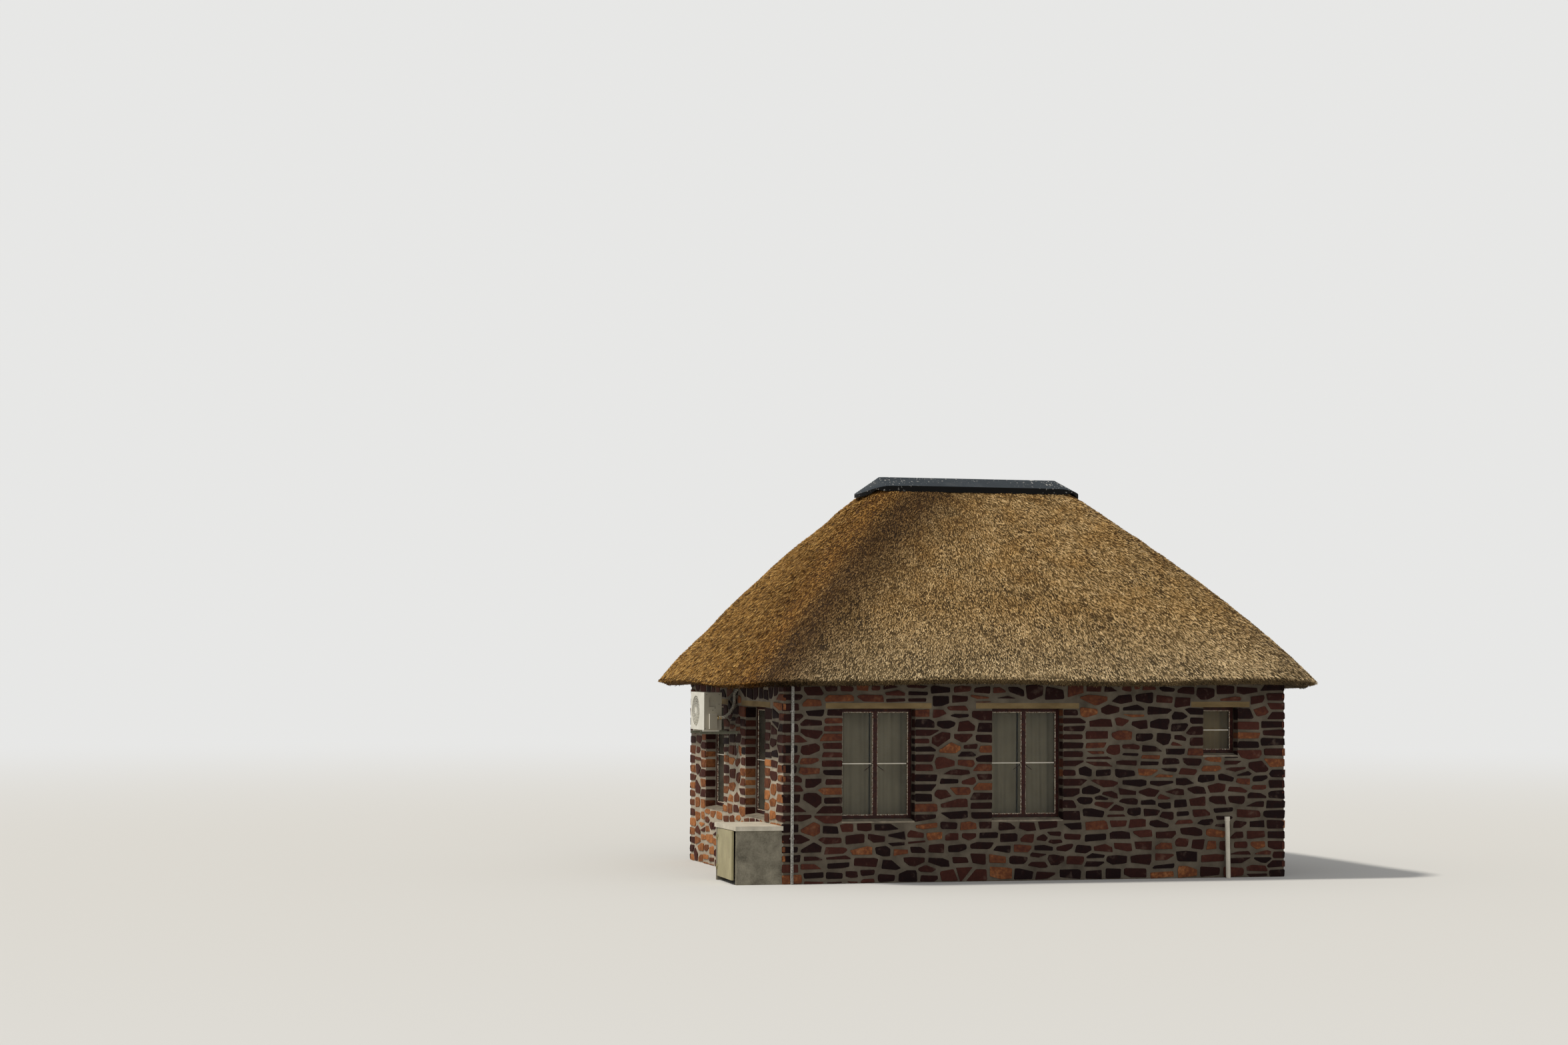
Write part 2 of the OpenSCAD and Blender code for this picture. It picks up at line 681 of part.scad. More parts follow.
// Pieces in each bay, and one at each end that stops at the hip pole's foot
module fill_row(half_length) {
    beside = rafter_d / 2 + pole_gap;
    for (x = rafter_places(half_length))
        if (x + beside < half_length - rafter_edge)
            fill_piece(x + beside, rafter_step(half_length) - 2 * beside);
    for (side = [0, 1]) mirror([side, 0, 0])
        fill_piece(half_length - rafter_edge + beside, rafter_edge - beside - hip_side - fill_t);
}

module beam_filling() {
    color([0.62, 0.57, 0.48]) {
        at_front() fill_row(half_l);
        at_back() fill_row(half_l);
        at_left() fill_row(half_d);
        at_right() fill_row(half_d);
    }
}

// Boarded back door, shut, in a timber frame
frame_y = 110;
module door_frame() {
    color([0.36, 0.22, 0.14]) at_back() translate([-door_w / 2, frame_y, floor_h])
        difference() {
            cube([door_w, door_frame_t, door_h]);
            translate([door_frame_w, -eps, -eps])
                cube([door_w - 2 * door_frame_w, door_frame_t + 2 * eps, door_h - door_frame_w + eps]);
        }
}

// The leaf's boards meet in grooves outside, and ledges hold them inside
leaf_back = 12;
board_n = 7;
groove = 4;
ledge_h = 110;
ledge_t = 22;
ledge_in = 40;
ledge_shares = [0.1, 0.55, 0.86];
knob_d = 22;
knob_in = 55;
knob_share = 0.48;
module door_leaf() {
    w = door_w - 2 * door_frame_w - 2 * leaf_gap;
    h = door_h - door_frame_w - 2 * leaf_gap;
    color([0.4, 0.25, 0.15]) at_back()
        translate([-w / 2, frame_y + leaf_back, floor_h + leaf_gap]) {
            difference() {
                cube([w, leaf_t, h]);
                for (k = [1:board_n - 1])
                    translate([w * k / board_n - groove / 2, -eps, -eps])
                        cube([groove, groove + eps, h + 2 * eps]);
            }
            for (share = ledge_shares)
                translate([ledge_in, leaf_t - eps, h * share])
                    cube([w - 2 * ledge_in, ledge_t + eps, ledge_h]);
            for (side = [-1, 1])
                translate([w - knob_in, leaf_t / 2 + side * (leaf_t / 2 + knob_d), h * knob_share])
                    rotate([90, 0, 0]) cylinder(d = knob_d, h = 2 * knob_d, center = true, $fn = 24);
        }
}

// Outdoor unit of the air conditioner, drawn at the left wall's outer face, facing out
module at_unit() { at_left() translate([-ac_y, 0, floor_h + ac_z]) children(); }
fan_x = -ac_w / 2 + fan_edge + fan_d / 2;
ac_foot = 22;
foot_w = 60;
foot_edge = 12;
foot_in = 110;
cover_w = 42;
cover_low = 38;
cover_h = 212;
cover_d = 109;
cover_back = 73;
grip_deep = 18;
grip_in = 73;
grip_w = 102;
grip_h = 130;
grip_down = 72;
drum_deep = 70;
rim_w = 9;
module aircon_casing() {
    color([0.85, 0.84, 0.78]) at_unit() difference() {
        union() {
            translate([-ac_w / 2, -ac_gap - ac_d, ac_foot]) cube([ac_w, ac_d, ac_h - ac_foot]);
            for (side = [-1, 1])
                translate([side * (ac_w / 2 - foot_in) - foot_w / 2, -ac_gap - ac_d + foot_edge, 0])
                    cube([foot_w, ac_d - 2 * foot_edge, ac_foot + eps]);
            translate([ac_w / 2 - eps, -ac_gap - cover_back - cover_d, cover_low])
                cube([cover_w + eps, cover_d, cover_h]);
        }
        translate([fan_x, -ac_gap - ac_d - eps, ac_h / 2 + ac_foot / 2])
            rotate([-90, 0, 0]) cylinder(r = fan_d / 2 + rim_w + eps, h = drum_deep, $fn = 64);
        translate([ac_w / 2 - grip_deep, -ac_gap - ac_d + grip_in, ac_h - grip_down - grip_h])
            cube([grip_deep + eps, grip_w, grip_h]);
    }
}

// Fan guard: rings, a rim and a hub on ribs that swirl outwards
guard_wire = 5;
ring_n = 6;
ring_step = 0.15;
hub_d = 90;
rib_n = 18;
rib_start = 40;
rib_turn = 55;
rib_steps = 8;
function rib_point(t, side) =
    let (r = rib_start + (fan_d / 2 + 2 - rib_start) * t,
        w = rib_turn * t + side * guard_wire / 2 / r * 180 / PI)
    [r * cos(w), r * sin(w)];
module swirl_rib() {
    linear_extrude(guard_wire) polygon(concat(
        [for (k = [0:rib_steps]) rib_point(k / rib_steps, -1)],
        [for (k = [rib_steps:-1:0]) rib_point(k / rib_steps, 1)]));
}
module aircon_grille() {
    color([0.8, 0.79, 0.74]) at_unit()
        translate([fan_x, -ac_gap - ac_d, ac_h / 2 + ac_foot / 2]) rotate([-90, 0, 0]) {
            for (k = [0:ring_n - 1])
                rotate_extrude($fn = 64) translate([fan_d / 2 * (1 - k * ring_step), 4]) square(guard_wire);
            difference() {
                cylinder(r = fan_d / 2 + rim_w, h = 8, $fn = 64);
                translate([0, 0, -eps]) cylinder(r = fan_d / 2 - 2, h = 8 + 2 * eps, $fn = 64);
            }
            cylinder(d = hub_d, h = 9, $fn = 32);
            for (k = [0:rib_n - 1]) rotate([0, 0, 360 / rib_n * k]) translate([0, 0, 2]) swirl_rib();
        }
}

module aircon_bracket() {
    reach = ac_gap + ac_d + 25;
    color([0.8, 0.79, 0.75]) at_unit()
        for (side = [-1, 1]) translate([side * (ac_w / 2 - foot_in) - bracket_s / 2, 0, 0]) {
            translate([0, -reach, -bracket_s]) cube([bracket_s, reach, bracket_s]);
            translate([0, -6, -420]) cube([bracket_s, 6, 420 - eps]);
            rotate([90, 0, 90]) linear_extrude(bracket_s * 0.6)
                polygon([[-6, -400], [-6, -360], [-ac_gap - 60, -bracket_s + eps],
                    [-ac_gap - 100, -bracket_s + eps]]);
        }
}

// Insulated pipes from the back of the valve cover up the wall and through it under the eave
pipe_hole = [ac_w / 2 - 124, 0, 590];
pipe_start = [ac_w / 2 + cover_w / 2 + 3, -ac_gap - cover_back, cover_low + cover_h - 55];
ac_route = [pipe_start, pipe_start + [0, 45, 0], pipe_start + [0, 103, 9],
    [ac_w / 2 - 4, -150, 256], [ac_w / 2 - 46, -90, 330], [ac_w / 2 - 88, -54, 405],
    [ac_w / 2 - 112, -46, 480], pipe_hole + [0, -44, -55], pipe_hole + [0, -14, -9],
    pipe_hole + [0, 30, 0], pipe_hole + [0, wall_t - 60, 0], pipe_hole + [0, wall_t, 0]];
hole_gap = 5;
function unit(v) = v / norm(v);
module sweep(route, d, sides) {
    last = len(route) - 1;
    skin([for (k = [0:last])
        let (t = unit(route[min(k + 1, last)] - route[max(k - 1, 0)]),
            u = unit(cross(t, [1, 0, 0])), w = cross(t, u))
        [for (i = [0:sides - 1]) route[k] + d / 2 * (cos(360 * i / sides) * u - sin(360 * i / sides) * w)]]);
}

module aircon_pipes() {
    color([0.62, 0.62, 0.6]) at_unit() sweep(ac_route, ac_pipe_d, 16);
}

// Upright pipe on the front wall, with its clips, up to the underside of the thatch
pipe_off = 12;
clip_low = 350;
clip_top = 530;
clip_h = 22;
module upright_pipe() {
    y = pipe_off + pipe_d / 2;
    top = under_z(overhang - y - pipe_d) - 20;
    color([0.78, 0.77, 0.73]) at_front() translate([-half_l + pipe_x, 0, 0]) {
        translate([0, -y, 0]) cylinder(d = pipe_d, h = top, $fn = 32);
        for (k = [0:2])
            translate([-pipe_d * 0.7, -y, floor_h + clip_low + k * (wall_h - clip_low - clip_top) / 2])
                cube([pipe_d * 1.4, y, clip_h]);
    }
}

// Short capped pipe that stands out of the ground at the front, leaning a little
module short_pipe() {
    tilt = 1.2;
    color([0.8, 0.78, 0.74]) at_front() translate([half_l - stub_in, -stub_d - 45, 0]) {
        intersection() {
            rotate([0, -tilt, 0]) translate([0, 0, -50])
                cylinder(d = stub_d, h = floor_h + stub_h + 50, $fn = 32);
            translate([-far / 2, -far / 2, 0]) cube(far);
        }
        rotate([0, -tilt, 0]) translate([0, 0, floor_h + stub_h - 60])
            cylinder(d = stub_d + 10, h = 62, $fn = 32);
    }
}

// Low locker in the corner by the left wall: two cheeks, a concrete top and a steel door
locker_x = -half_l - locker_d;
locker_y = -half_d;
locker_z = floor_h + locker_h;
module locker_walls() {
    color([0.6, 0.57, 0.5])
        for (y = [locker_y, locker_y + locker_w - locker_t])
            translate([locker_x, y, 0]) cube([locker_d, locker_t, locker_z - locker_top_t]);
}

module locker_top() {
    color([0.8, 0.77, 0.68])
        translate([locker_x - locker_lip, locker_y - locker_lip, locker_z - locker_top_t])
            cube([locker_d + locker_lip, locker_w + 2 * locker_lip, locker_top_t]);
}

// The door turns on two hinges outside the far cheek's edge
hinge_out = 10;
knuckle_r = 8;
pin_r = 4;
pin_clear = 0.3;
hinge_plate = 5;
knuckle_h = 35;
knuckle_gap = 3;
hinge_x = locker_x - hinge_out;
hinge_y = locker_y + locker_w - locker_t;
door_low = locker_foot;
door_high = locker_z - locker_top_t - locker_gap;
hinge_zs = [door_low + 90, door_high - 90 - 2 * knuckle_h - knuckle_gap];

module locker_hinges() {
    color([0.5, 0.5, 0.46]) for (z = hinge_zs) translate([hinge_x, hinge_y, z]) {
        cylinder(r = knuckle_r, h = knuckle_h, $fn = 32);
        translate([0, 0, knuckle_h - eps]) cylinder(r = pin_r, h = knuckle_h + knuckle_gap, $fn = 32);
        translate([hinge_out - hinge_plate, 0, 0]) cube([hinge_plate, locker_t - 10, knuckle_h]);
    }
}

module locker_door() {
    leaf_w = locker_w - 2 * locker_t - 2 * locker_gap;
    color([0.74, 0.73, 0.63])
        translate([hinge_x, hinge_y, 0]) rotate([0, 0, -door_ajar]) {
            translate([hinge_out, -locker_gap - leaf_w, door_low]) difference() {
                cube([locker_door_t, leaf_w, door_high - door_low]);
                translate([sheet_t, sheet_t, sheet_t])
                    cube([locker_door_t, leaf_w - 2 * sheet_t, door_high - door_low - 2 * sheet_t]);
            }
            for (z = hinge_zs) translate([0, 0, z + knuckle_h + knuckle_gap]) difference() {
                union() {
                    cylinder(r = knuckle_r, h = knuckle_h - knuckle_gap, $fn = 32);
                    translate([hinge_out - hinge_plate, -60, 0])
                        cube([hinge_plate + eps, 60, knuckle_h - knuckle_gap]);
                }
                translate([0, 0, -eps]) cylinder(r = pin_r + pin_clear, h = knuckle_h + 2 * eps, $fn = 32);
            }
        }
}

floor_slab();
front_wall();
back_wall();
left_wall();
right_wall();
lintels();
window_sills();
front_window_1();
front_window_2();
front_window_small();
left_window_near();
left_window_far();
back_window_left();
back_window_right();
right_window_small();
right_window_tall();
front_panes();
left_panes();
back_panes();
right_panes();
front_curtains();
left_curtains();
back_curtains();
right_curtains();
curtain_rails();
wall_plates();
beam_filling();
front_rafters();
back_rafters();
left_rafters();
right_rafters();
hip_poles();
ridge_pole();
thatch();
ridge_cap();
door_frame();
door_leaf();
aircon_casing();
aircon_grille();
aircon_bracket();
aircon_pipes();
upright_pipe();
short_pipe();
locker_walls();
locker_top();
locker_hinges();
locker_door();
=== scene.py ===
# %% [markdown]
# A rubble stone cottage under a thatched hip roof, dressed piece by piece over its packed solids.
# Everything is in metres: X runs along the front wall to the right, Y from the front to the
# back, and Z is 0 at the foot of the walls. The solids come first, and each later piece takes
# its place from them.

# %% Load the solids
import math
import random

import bmesh
import bpy
import numpy as np
from mathutils import Matrix, Vector
from mathutils.noise import noise


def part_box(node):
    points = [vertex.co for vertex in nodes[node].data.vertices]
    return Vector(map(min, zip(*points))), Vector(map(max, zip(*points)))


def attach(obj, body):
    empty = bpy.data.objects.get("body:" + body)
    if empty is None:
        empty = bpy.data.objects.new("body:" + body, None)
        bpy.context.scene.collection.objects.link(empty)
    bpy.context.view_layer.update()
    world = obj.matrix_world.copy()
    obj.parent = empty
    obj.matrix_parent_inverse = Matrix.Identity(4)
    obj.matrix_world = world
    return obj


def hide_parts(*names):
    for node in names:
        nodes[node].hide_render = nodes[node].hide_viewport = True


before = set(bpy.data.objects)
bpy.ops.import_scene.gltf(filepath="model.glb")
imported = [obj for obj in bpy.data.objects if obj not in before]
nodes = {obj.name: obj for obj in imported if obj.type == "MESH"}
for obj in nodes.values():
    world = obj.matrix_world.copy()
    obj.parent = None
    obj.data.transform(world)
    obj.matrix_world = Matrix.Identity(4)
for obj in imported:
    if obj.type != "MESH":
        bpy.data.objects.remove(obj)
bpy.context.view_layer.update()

# %% [markdown]
# The camera stands where the photograph was taken, about 45 m away and a little to the left of
# the front. A long lens keeps the walls nearly parallel, so the exact turn matters more than
# the distance. The turn is built from three axes: right, up and backwards.

# %% Camera
photo_wide, focal_px, sensor_wide = 2352, 4700, 36
stand_point = (-15.205, -42.922, 3.177)
yaw, pitch, roll = (math.radians(a) for a in (15.942, 2.273, 0.323))
ahead = Vector((math.sin(yaw) * math.cos(pitch), math.cos(yaw) * math.cos(pitch), math.sin(pitch)))
level_right = Vector((math.cos(yaw), -math.sin(yaw), 0))
level_up = level_right.cross(ahead)
right = level_right * math.cos(roll) + level_up * math.sin(roll)
up = level_up * math.cos(roll) - level_right * math.sin(roll)
camera = bpy.data.objects.new("camera", bpy.data.cameras.new("camera"))
bpy.context.scene.collection.objects.link(camera)
camera.data.sensor_fit = "HORIZONTAL"
camera.data.sensor_width = sensor_wide
camera.data.lens = focal_px / photo_wide * sensor_wide
camera.data.clip_end = 300
turn = Matrix((right, up, -ahead)).transposed().to_4x4()
camera.matrix_world = Matrix.Translation(stand_point) @ turn
bpy.context.scene.camera = camera
print("lens", round(camera.data.lens, 2))

# %% [markdown]
# Shader maths reads best as sums. `Val` wraps one output socket, and each sign adds the Math
# node that does it, also where the number stands first, as in 1 - mask.

# %% Sums of sockets
def feed(slot, value):
    """Links a value to a socket, or writes plain numbers on it."""
    if isinstance(value, Val):
        value.tree.links.new(value.socket, slot)
    elif isinstance(value, tuple) and len(slot.default_value) == 4:
        slot.default_value = (*value, 1)[:4]
    else:
        slot.default_value = value


class Val:
    def __init__(self, tree, socket):
        self.tree = tree
        self.socket = socket

    def math(self, operation, other=0.0, turned=False):
        made = self.tree.nodes.new("ShaderNodeMath")
        made.operation = operation
        pair = (other, self) if turned else (self, other)
        for slot, value in zip(made.inputs, pair):
            feed(slot, value)
        return Val(self.tree, made.outputs[0])

    def __add__(self, other):
        return self.math("ADD", other)

    def __radd__(self, other):
        return self.math("ADD", other)

    def __sub__(self, other):
        return self.math("SUBTRACT", other)

    def __rsub__(self, other):
        return self.math("SUBTRACT", other, True)

    def __mul__(self, other):
        return self.math("MULTIPLY", other)

    def __rmul__(self, other):
        return self.math("MULTIPLY", other)


print("Val has", *vars(Val))

# %% [markdown]
# Every finish of the cottage is a Principled shader fed by noise, ramps and masks. `Finish`
# holds one, and its method `node` makes any kind of node: the settings go on first, then the
# sockets, by name, or by number as i0 where names repeat. The short methods below it stand for
# the nodes that nearly every finish needs.

# %% A finish and its nodes
class Finish:
    def __init__(self, name, rough, colour=(0.5, 0.5, 0.5), gloss=0.15):
        self.material = bpy.data.materials.new(name)
        self.material.use_nodes = True
        self.tree = self.material.node_tree
        self.shader = self.tree.nodes["Principled BSDF"]
        self.put("Roughness", rough)
        self.put("Base Color", colour)
        self.put("Specular IOR Level", gloss)
        self.place = self.node("ShaderNodeTexCoord", out="Object")

    def put(self, slot, value):
        feed(self.shader.inputs[slot], value)

    def node(self, kind, settings=None, out=0, **values):
        made = self.tree.nodes.new(kind)
        for key, value in (settings or {}).items():
            if key == "stops":
                elements = made.color_ramp.elements
                while len(elements) < len(value):
                    elements.new(0.5)
                for element, (at, colour) in zip(elements, value):
                    element.position = at
                    element.color = (*colour, 1)
            else:
                setattr(made, key, value)
        for key, value in values.items():
            by_number = key[0] == "i" and key[1:].isdigit()
            slot = made.inputs[int(key[1:]) if by_number else key.replace("_", " ")]
            feed(slot, value)
        return Val(self.tree, made.outputs[out])

    def axis(self, letter):
        return self.node("ShaderNodeSeparateXYZ", out=letter, Vector=self.place)

    def kept(self, name):
        return self.node("ShaderNodeAttribute", {"attribute_name": name}, out="Fac")

    def stretch(self, x, y, z):
        return self.node("ShaderNodeMapping", Vector=self.place, Scale=(x, y, z))

    def noise(self, scale, detail=4.0, vector=None, rough=0.55):
        return self.node("ShaderNodeTexNoise", Vector=vector or self.place, Scale=scale,
                         Detail=detail, Roughness=rough)

    def ramp(self, value, *stops):
        return self.node("ShaderNodeValToRGB", {"stops": stops}, Fac=value)

    def mix(self, share, first, second):
        return self.node("ShaderNodeMix", {"data_type": "RGBA"}, out=2, i0=share, i6=first, i7=second)

    def blotch(self, low, high, value):
        return self.node("ShaderNodeMapRange", Value=value, From_Min=low, From_Max=high)

    def bump(self, height, depth):
        self.put("Normal", self.node("ShaderNodeBump", Height=height, Distance=depth))


print("Finish has", *vars(Finish))

# %% [markdown]
# A node of the solids keeps its mesh and only takes a finish. A new piece needs more: an
# object at the origin, the body it rides on, the material slot it belongs to, and the solids
# that it stands for. One helper for each keeps the later cells short. All of the new pieces
# ride on the house itself, as the locker's door keeps its solid.

# %% Dress a solid, add a piece
def dress(finish, *names):
    for name in names:
        nodes[name].data.materials.clear()
        nodes[name].data.materials.append(finish.material)
    print(finish.material.name, "on", *names)


def mesh_of(name, bm):
    """Turns a bmesh into a mesh, and lets the bmesh go."""
    mesh = bpy.data.meshes.new(name)
    bm.to_mesh(mesh)
    bm.free()
    return mesh


def pour(bm, pile):
    """Adds one small shape to the pile that it belongs to."""
    small = mesh_of("small", bm)
    pile.from_mesh(small)
    bpy.data.meshes.remove(small)


def add_piece(name, shape, finish, replaces=(), smooth=False):
    mesh = mesh_of(name, shape) if isinstance(shape, bmesh.types.BMesh) else shape
    mesh.name = name
    mesh.materials.append(finish.material)
    if smooth:
        mesh.shade_smooth()
    else:
        mesh.shade_flat()
    piece = bpy.data.objects.new(name, mesh)
    bpy.context.scene.collection.objects.link(piece)
    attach(piece, "root")
    if replaces:
        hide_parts(*replaces)
    print(name, "triangles", sum(len(p.vertices) - 2 for p in mesh.polygons))
    return piece


print("the first solids are", *list(nodes)[:5])

# %% [markdown]
# The sizes that many pieces share are read off the solids' boxes, so a change of the source
# moves the dressing with it. The four walls are dressed alike, each in coordinates of its own:
# along the wall, up, and outwards.

# %% Shared sizes and wall coordinates
wall_order = ["front", "right", "back", "left"]
front_low, front_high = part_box("front_wall")
half_l, half_d = front_high[0], -front_low[1]
wall_top = front_high[2]
print("half sizes", round(half_l, 3), round(half_d, 3), "wall top", round(wall_top, 3))


def wall_frame(side):
    """Turns wall coordinates into the object's."""
    across, out, far = {"front": ((1, 0, 0), (0, -1, 0), half_d),
                        "right": ((0, 1, 0), (1, 0, 0), half_l),
                        "back": ((-1, 0, 0), (0, 1, 0), half_d),
                        "left": ((0, -1, 0), (-1, 0, 0), half_l)}[side]
    made = Matrix((across, (0, 0, 1), out)).transposed().to_4x4()
    made.translation = Vector(out) * far
    return made


def wall_box(side, name):
    """Lowest and highest corner of a node's box in wall coordinates."""
    back = wall_frame(side).inverted()
    first, second = (back @ Vector(corner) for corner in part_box(name))
    pairs = list(zip(first, second))
    return Vector(map(min, pairs)), Vector(map(max, pairs))


def on_wall(bm, side):
    """Moves a shape from wall coordinates to its wall."""
    bmesh.ops.transform(bm, matrix=wall_frame(side), verts=bm.verts[:])
    return bm

# %% [markdown]
# The walls are rubble: dark red-brown stones, no two alike, in wide grey joints. The stones
# keep clear of the windows, the door, the sills and the lintels, so the openings come first.
# They are read off the solids, and the lintel of a small window bears less far on the wall.

# %% Openings of each wall
frame_gap, sill_h, lintel_h = 0.007, 0.045, 0.075
bearing, small_bearing = 0.232, 0.178
wall_windows = {"front": ["front_window_1", "front_window_2", "front_window_small"],
                "right": ["right_window_small", "right_window_tall"],
                "back": ["back_window_left", "back_window_right"],
                "left": ["left_window_near", "left_window_far"]}
openings = {}
for side, names in wall_windows.items():
    openings[side] = []
    for name in names:
        low, high = wall_box(side, name)
        rests = small_bearing if "small" in name else bearing
        openings[side].append((low.x - frame_gap, high.x + frame_gap,
                               low.y - frame_gap - sill_h, high.y + frame_gap, rests))
low, high = wall_box("back", "door_frame")
openings["back"].append((low.x, high.x, low.y, high.y, bearing))
print("openings", {side: len(found) for side, found in openings.items()})

# %% [markdown]
# Each stone is one small polygon. One could be drawn by hand, but not a whole wall of them. So
# a rectangle round a seed point is cut by a line halfway to each of its neighbours, moved in
# by half a joint, and no two stones can meet. The lines lean towards level and upright,
# because a mason lays in rough courses.

# %% Outline of one stone
flatten, square_up = 0.58, 1.9
reach_x, reach_y = 0.34, 0.24
neighbours, block_near = 14, 0.4


def cut(bm, at, normal):
    bmesh.ops.bisect_plane(bm, geom=bm.verts[:] + bm.edges[:] + bm.faces[:],
                           plane_co=(*at, 0), plane_no=(*normal, 0), clear_outer=True)


def rectangle(x0, x1, y0, y1):
    bm = bmesh.new()
    bm.faces.new([bm.verts.new((x, y, 0)) for x, y in ((x0, y0), (x1, y0), (x1, y1), (x0, y1))])
    return bm


def outline(seed, seeds, joint, limits, blocks):
    left, right_end, low, top = limits
    bm = rectangle(max(left, seed[0] - reach_x), min(right_end, seed[0] + reach_x),
                   max(low, seed[1] - reach_y), min(top, seed[1] + reach_y))
    near = sorted(seeds, key=lambda s: (s[0] - seed[0]) ** 2 * flatten ** 2 + (s[1] - seed[1]) ** 2)
    for other in near[1:neighbours + 1]:
        normal = Vector(((other[0] - seed[0]) * flatten ** 2, other[1] - seed[1])).normalized()
        normal = Vector(math.copysign(abs(part) ** square_up, part) for part in normal).normalized()
        middle = Vector(((other[0] + seed[0]) / 2, (other[1] + seed[1]) / 2)) - normal * joint
        cut(bm, middle, normal)
    for a, b, c, d, gap in blocks:
        sides = [(a - seed[0], (a - gap, seed[1]), (1, 0)), (seed[0] - b, (b + gap, seed[1]), (-1, 0)),
                 (c - seed[1], (seed[0], c - gap), (0, 1)), (seed[1] - d, (seed[0], d + gap), (0, -1))]
        clear, at, normal = max(sides)
        if clear < block_near:
            cut(bm, at, normal)
    return bm


print("a stone reaches at most", reach_x, "by", reach_y, "m from its seed")

# %% [markdown]
# Outlines cut from seeds look like a honeycomb. Real rubble is rougher, so chance breaks a
# corner off nearly half of them, and turns, tapers and shrinks every one. That also leaves the
# joints as uneven as real ones.

# %% Loosen an outline
broken_share = 0.45


def loosen(bm, dice, limits):
    if dice.random() < broken_share:
        lean = Vector((dice.choice((-1, 1)) * dice.uniform(0.25, 0.9), dice.choice((-1, 1)))).normalized()
        spans = sorted(v.co.xy.dot(lean) for v in bm.verts)
        if spans:
            cut(bm, lean * (spans[0] + (spans[-1] - spans[0]) * dice.uniform(0.72, 0.9)), lean)
    corners = bm.verts[:]
    if len(corners) < 3:
        return
    middle = sum((v.co for v in corners), Vector()) / len(corners)
    reach = max(abs(v.co.x - middle.x) for v in corners) + 0.001
    taper, wide, tall = dice.uniform(-0.16, 0.16), dice.uniform(0.90, 1.0), dice.uniform(0.86, 1.0)
    for v in corners:
        along = (v.co.x - middle.x) / reach
        v.co.x = middle.x + (v.co.x - middle.x) * wide
        v.co.y = middle.y + (v.co.y - middle.y) * tall * (1 - abs(taper) + taper * along)
    spin = Matrix.Rotation(dice.uniform(-0.05, 0.05), 3, "Z")
    bmesh.ops.rotate(bm, cent=middle, matrix=spin, verts=corners)
    for v in corners:
        v.co.x = min(max(v.co.x, limits[0]), limits[1])
        v.co.y = min(max(v.co.y, limits[2]), limits[3])


print("share of broken corners", broken_share)

# %% [markdown]
# A flat outline becomes a stone in five moves: round its corners, let its edge wander, extrude it out of
# the wall, bevel the rim, and lift the middle of its face. Noise on the face gives the rough break. Each
# stone also keeps one random tone for its colour, and that tone holds painted light. On the left wall the
# stones below the eave's shadow line are lighter and redder, as painted sunlight, and those above it are
# darker, as the eave's painted shadow. On the other walls a higher power darkens the tones, as painted
# shade.

# %% Raise a stone
# Height of the eave's painted shadow on the left wall, used in stone and mortar colour.
painted_shadow_line = 1.65
least_area, root_depth, bulge_depth = 0.0014, 0.03, 0.028


def bevel(bm, parts, offset, segments=2, affect="EDGES", clamp=False):
    bmesh.ops.bevel(bm, geom=parts, affect=affect, offset=offset, segments=segments,
                    profile=0.5, material=-1, clamp_overlap=clamp)


def raise_stone(pile, bm, relief, dice, to_room, painted_light_power, round_by=0.02, wander=0.010):
    face = max(bm.faces, key=lambda f: f.calc_area(), default=None)
    if face is None or face.calc_area() < least_area:
        bm.free()
        return 0
    bmesh.ops.dissolve_limit(bm, angle_limit=0.05, verts=bm.verts[:], edges=bm.edges[:])
    bevel(bm, bm.verts[:], round_by * dice.uniform(0.6, 1.3), 3, "VERTICES", True)
    for v in bm.verts:
        v.co.x += noise(v.co * 13) * wander
        v.co.y += noise(v.co * 13 + Vector((7, 3, 1))) * wander
    grown = bmesh.ops.extrude_face_region(bm, geom=bm.faces[:])["geom"]
    crown = [part for part in grown if isinstance(part, bmesh.types.BMVert)]
    bmesh.ops.translate(bm, verts=crown, vec=(0, 0, relief + root_depth))
    rim = [e for e in bm.edges if all(v in crown for v in e.verts)]
    bevel(bm, rim, min(relief, 0.010) * 0.9, clamp=True)
    bmesh.ops.recalc_face_normals(bm, faces=bm.faces[:])
    top = max(bm.faces, key=lambda f: f.calc_center_median().z + f.calc_area())
    hub = bmesh.ops.poke(bm, faces=[top])["verts"][0]
    hub.co += Vector((dice.uniform(-0.02, 0.02), dice.uniform(-0.01, 0.01), dice.uniform(-0.001, 0.006)))
    tilt = Vector((dice.uniform(-0.03, 0.03), dice.uniform(-0.03, 0.03)))
    middle = hub.co.copy()
    for v in bm.verts:
        if v.co.z > bulge_depth:
            v.co.z += (v.co.xy - middle.xy).dot(tilt) + noise(v.co * 22) * 0.0025
        v.co.z -= root_depth
    # Painted light: the power is low on the sunlit left wall and high on the shaded walls, and on the left
    # wall the tone is lifted below the shadow line as painted sunlight and lowered above it as painted
    # eave shadow.
    tone = dice.random() ** painted_light_power
    if painted_light_power < 1:
        painted_sunlit = (to_room @ middle).z < painted_shadow_line
        tone = 0.52 + 0.62 * tone if painted_sunlit else tone ** 2
    layer = bm.verts.layers.float.new("tone")
    for v in bm.verts:
        v[layer] = tone
    bmesh.ops.transform(bm, matrix=to_room, verts=bm.verts[:])
    pour(bm, pile)
    return 1


print("painted shadow line", painted_shadow_line)

# %% [markdown]
# A wall's seeds come in loose courses. Squarer blocks line the windows and the door, as a
# mason sets them there. The corners share their heights between the two walls that meet
# there, so the same block seems to turn the corner.

# %% Blocks beside openings and up the corners
block_tall, least_block = (0.10, 0.17), 0.08
header, stretcher = 0.07, 0.13


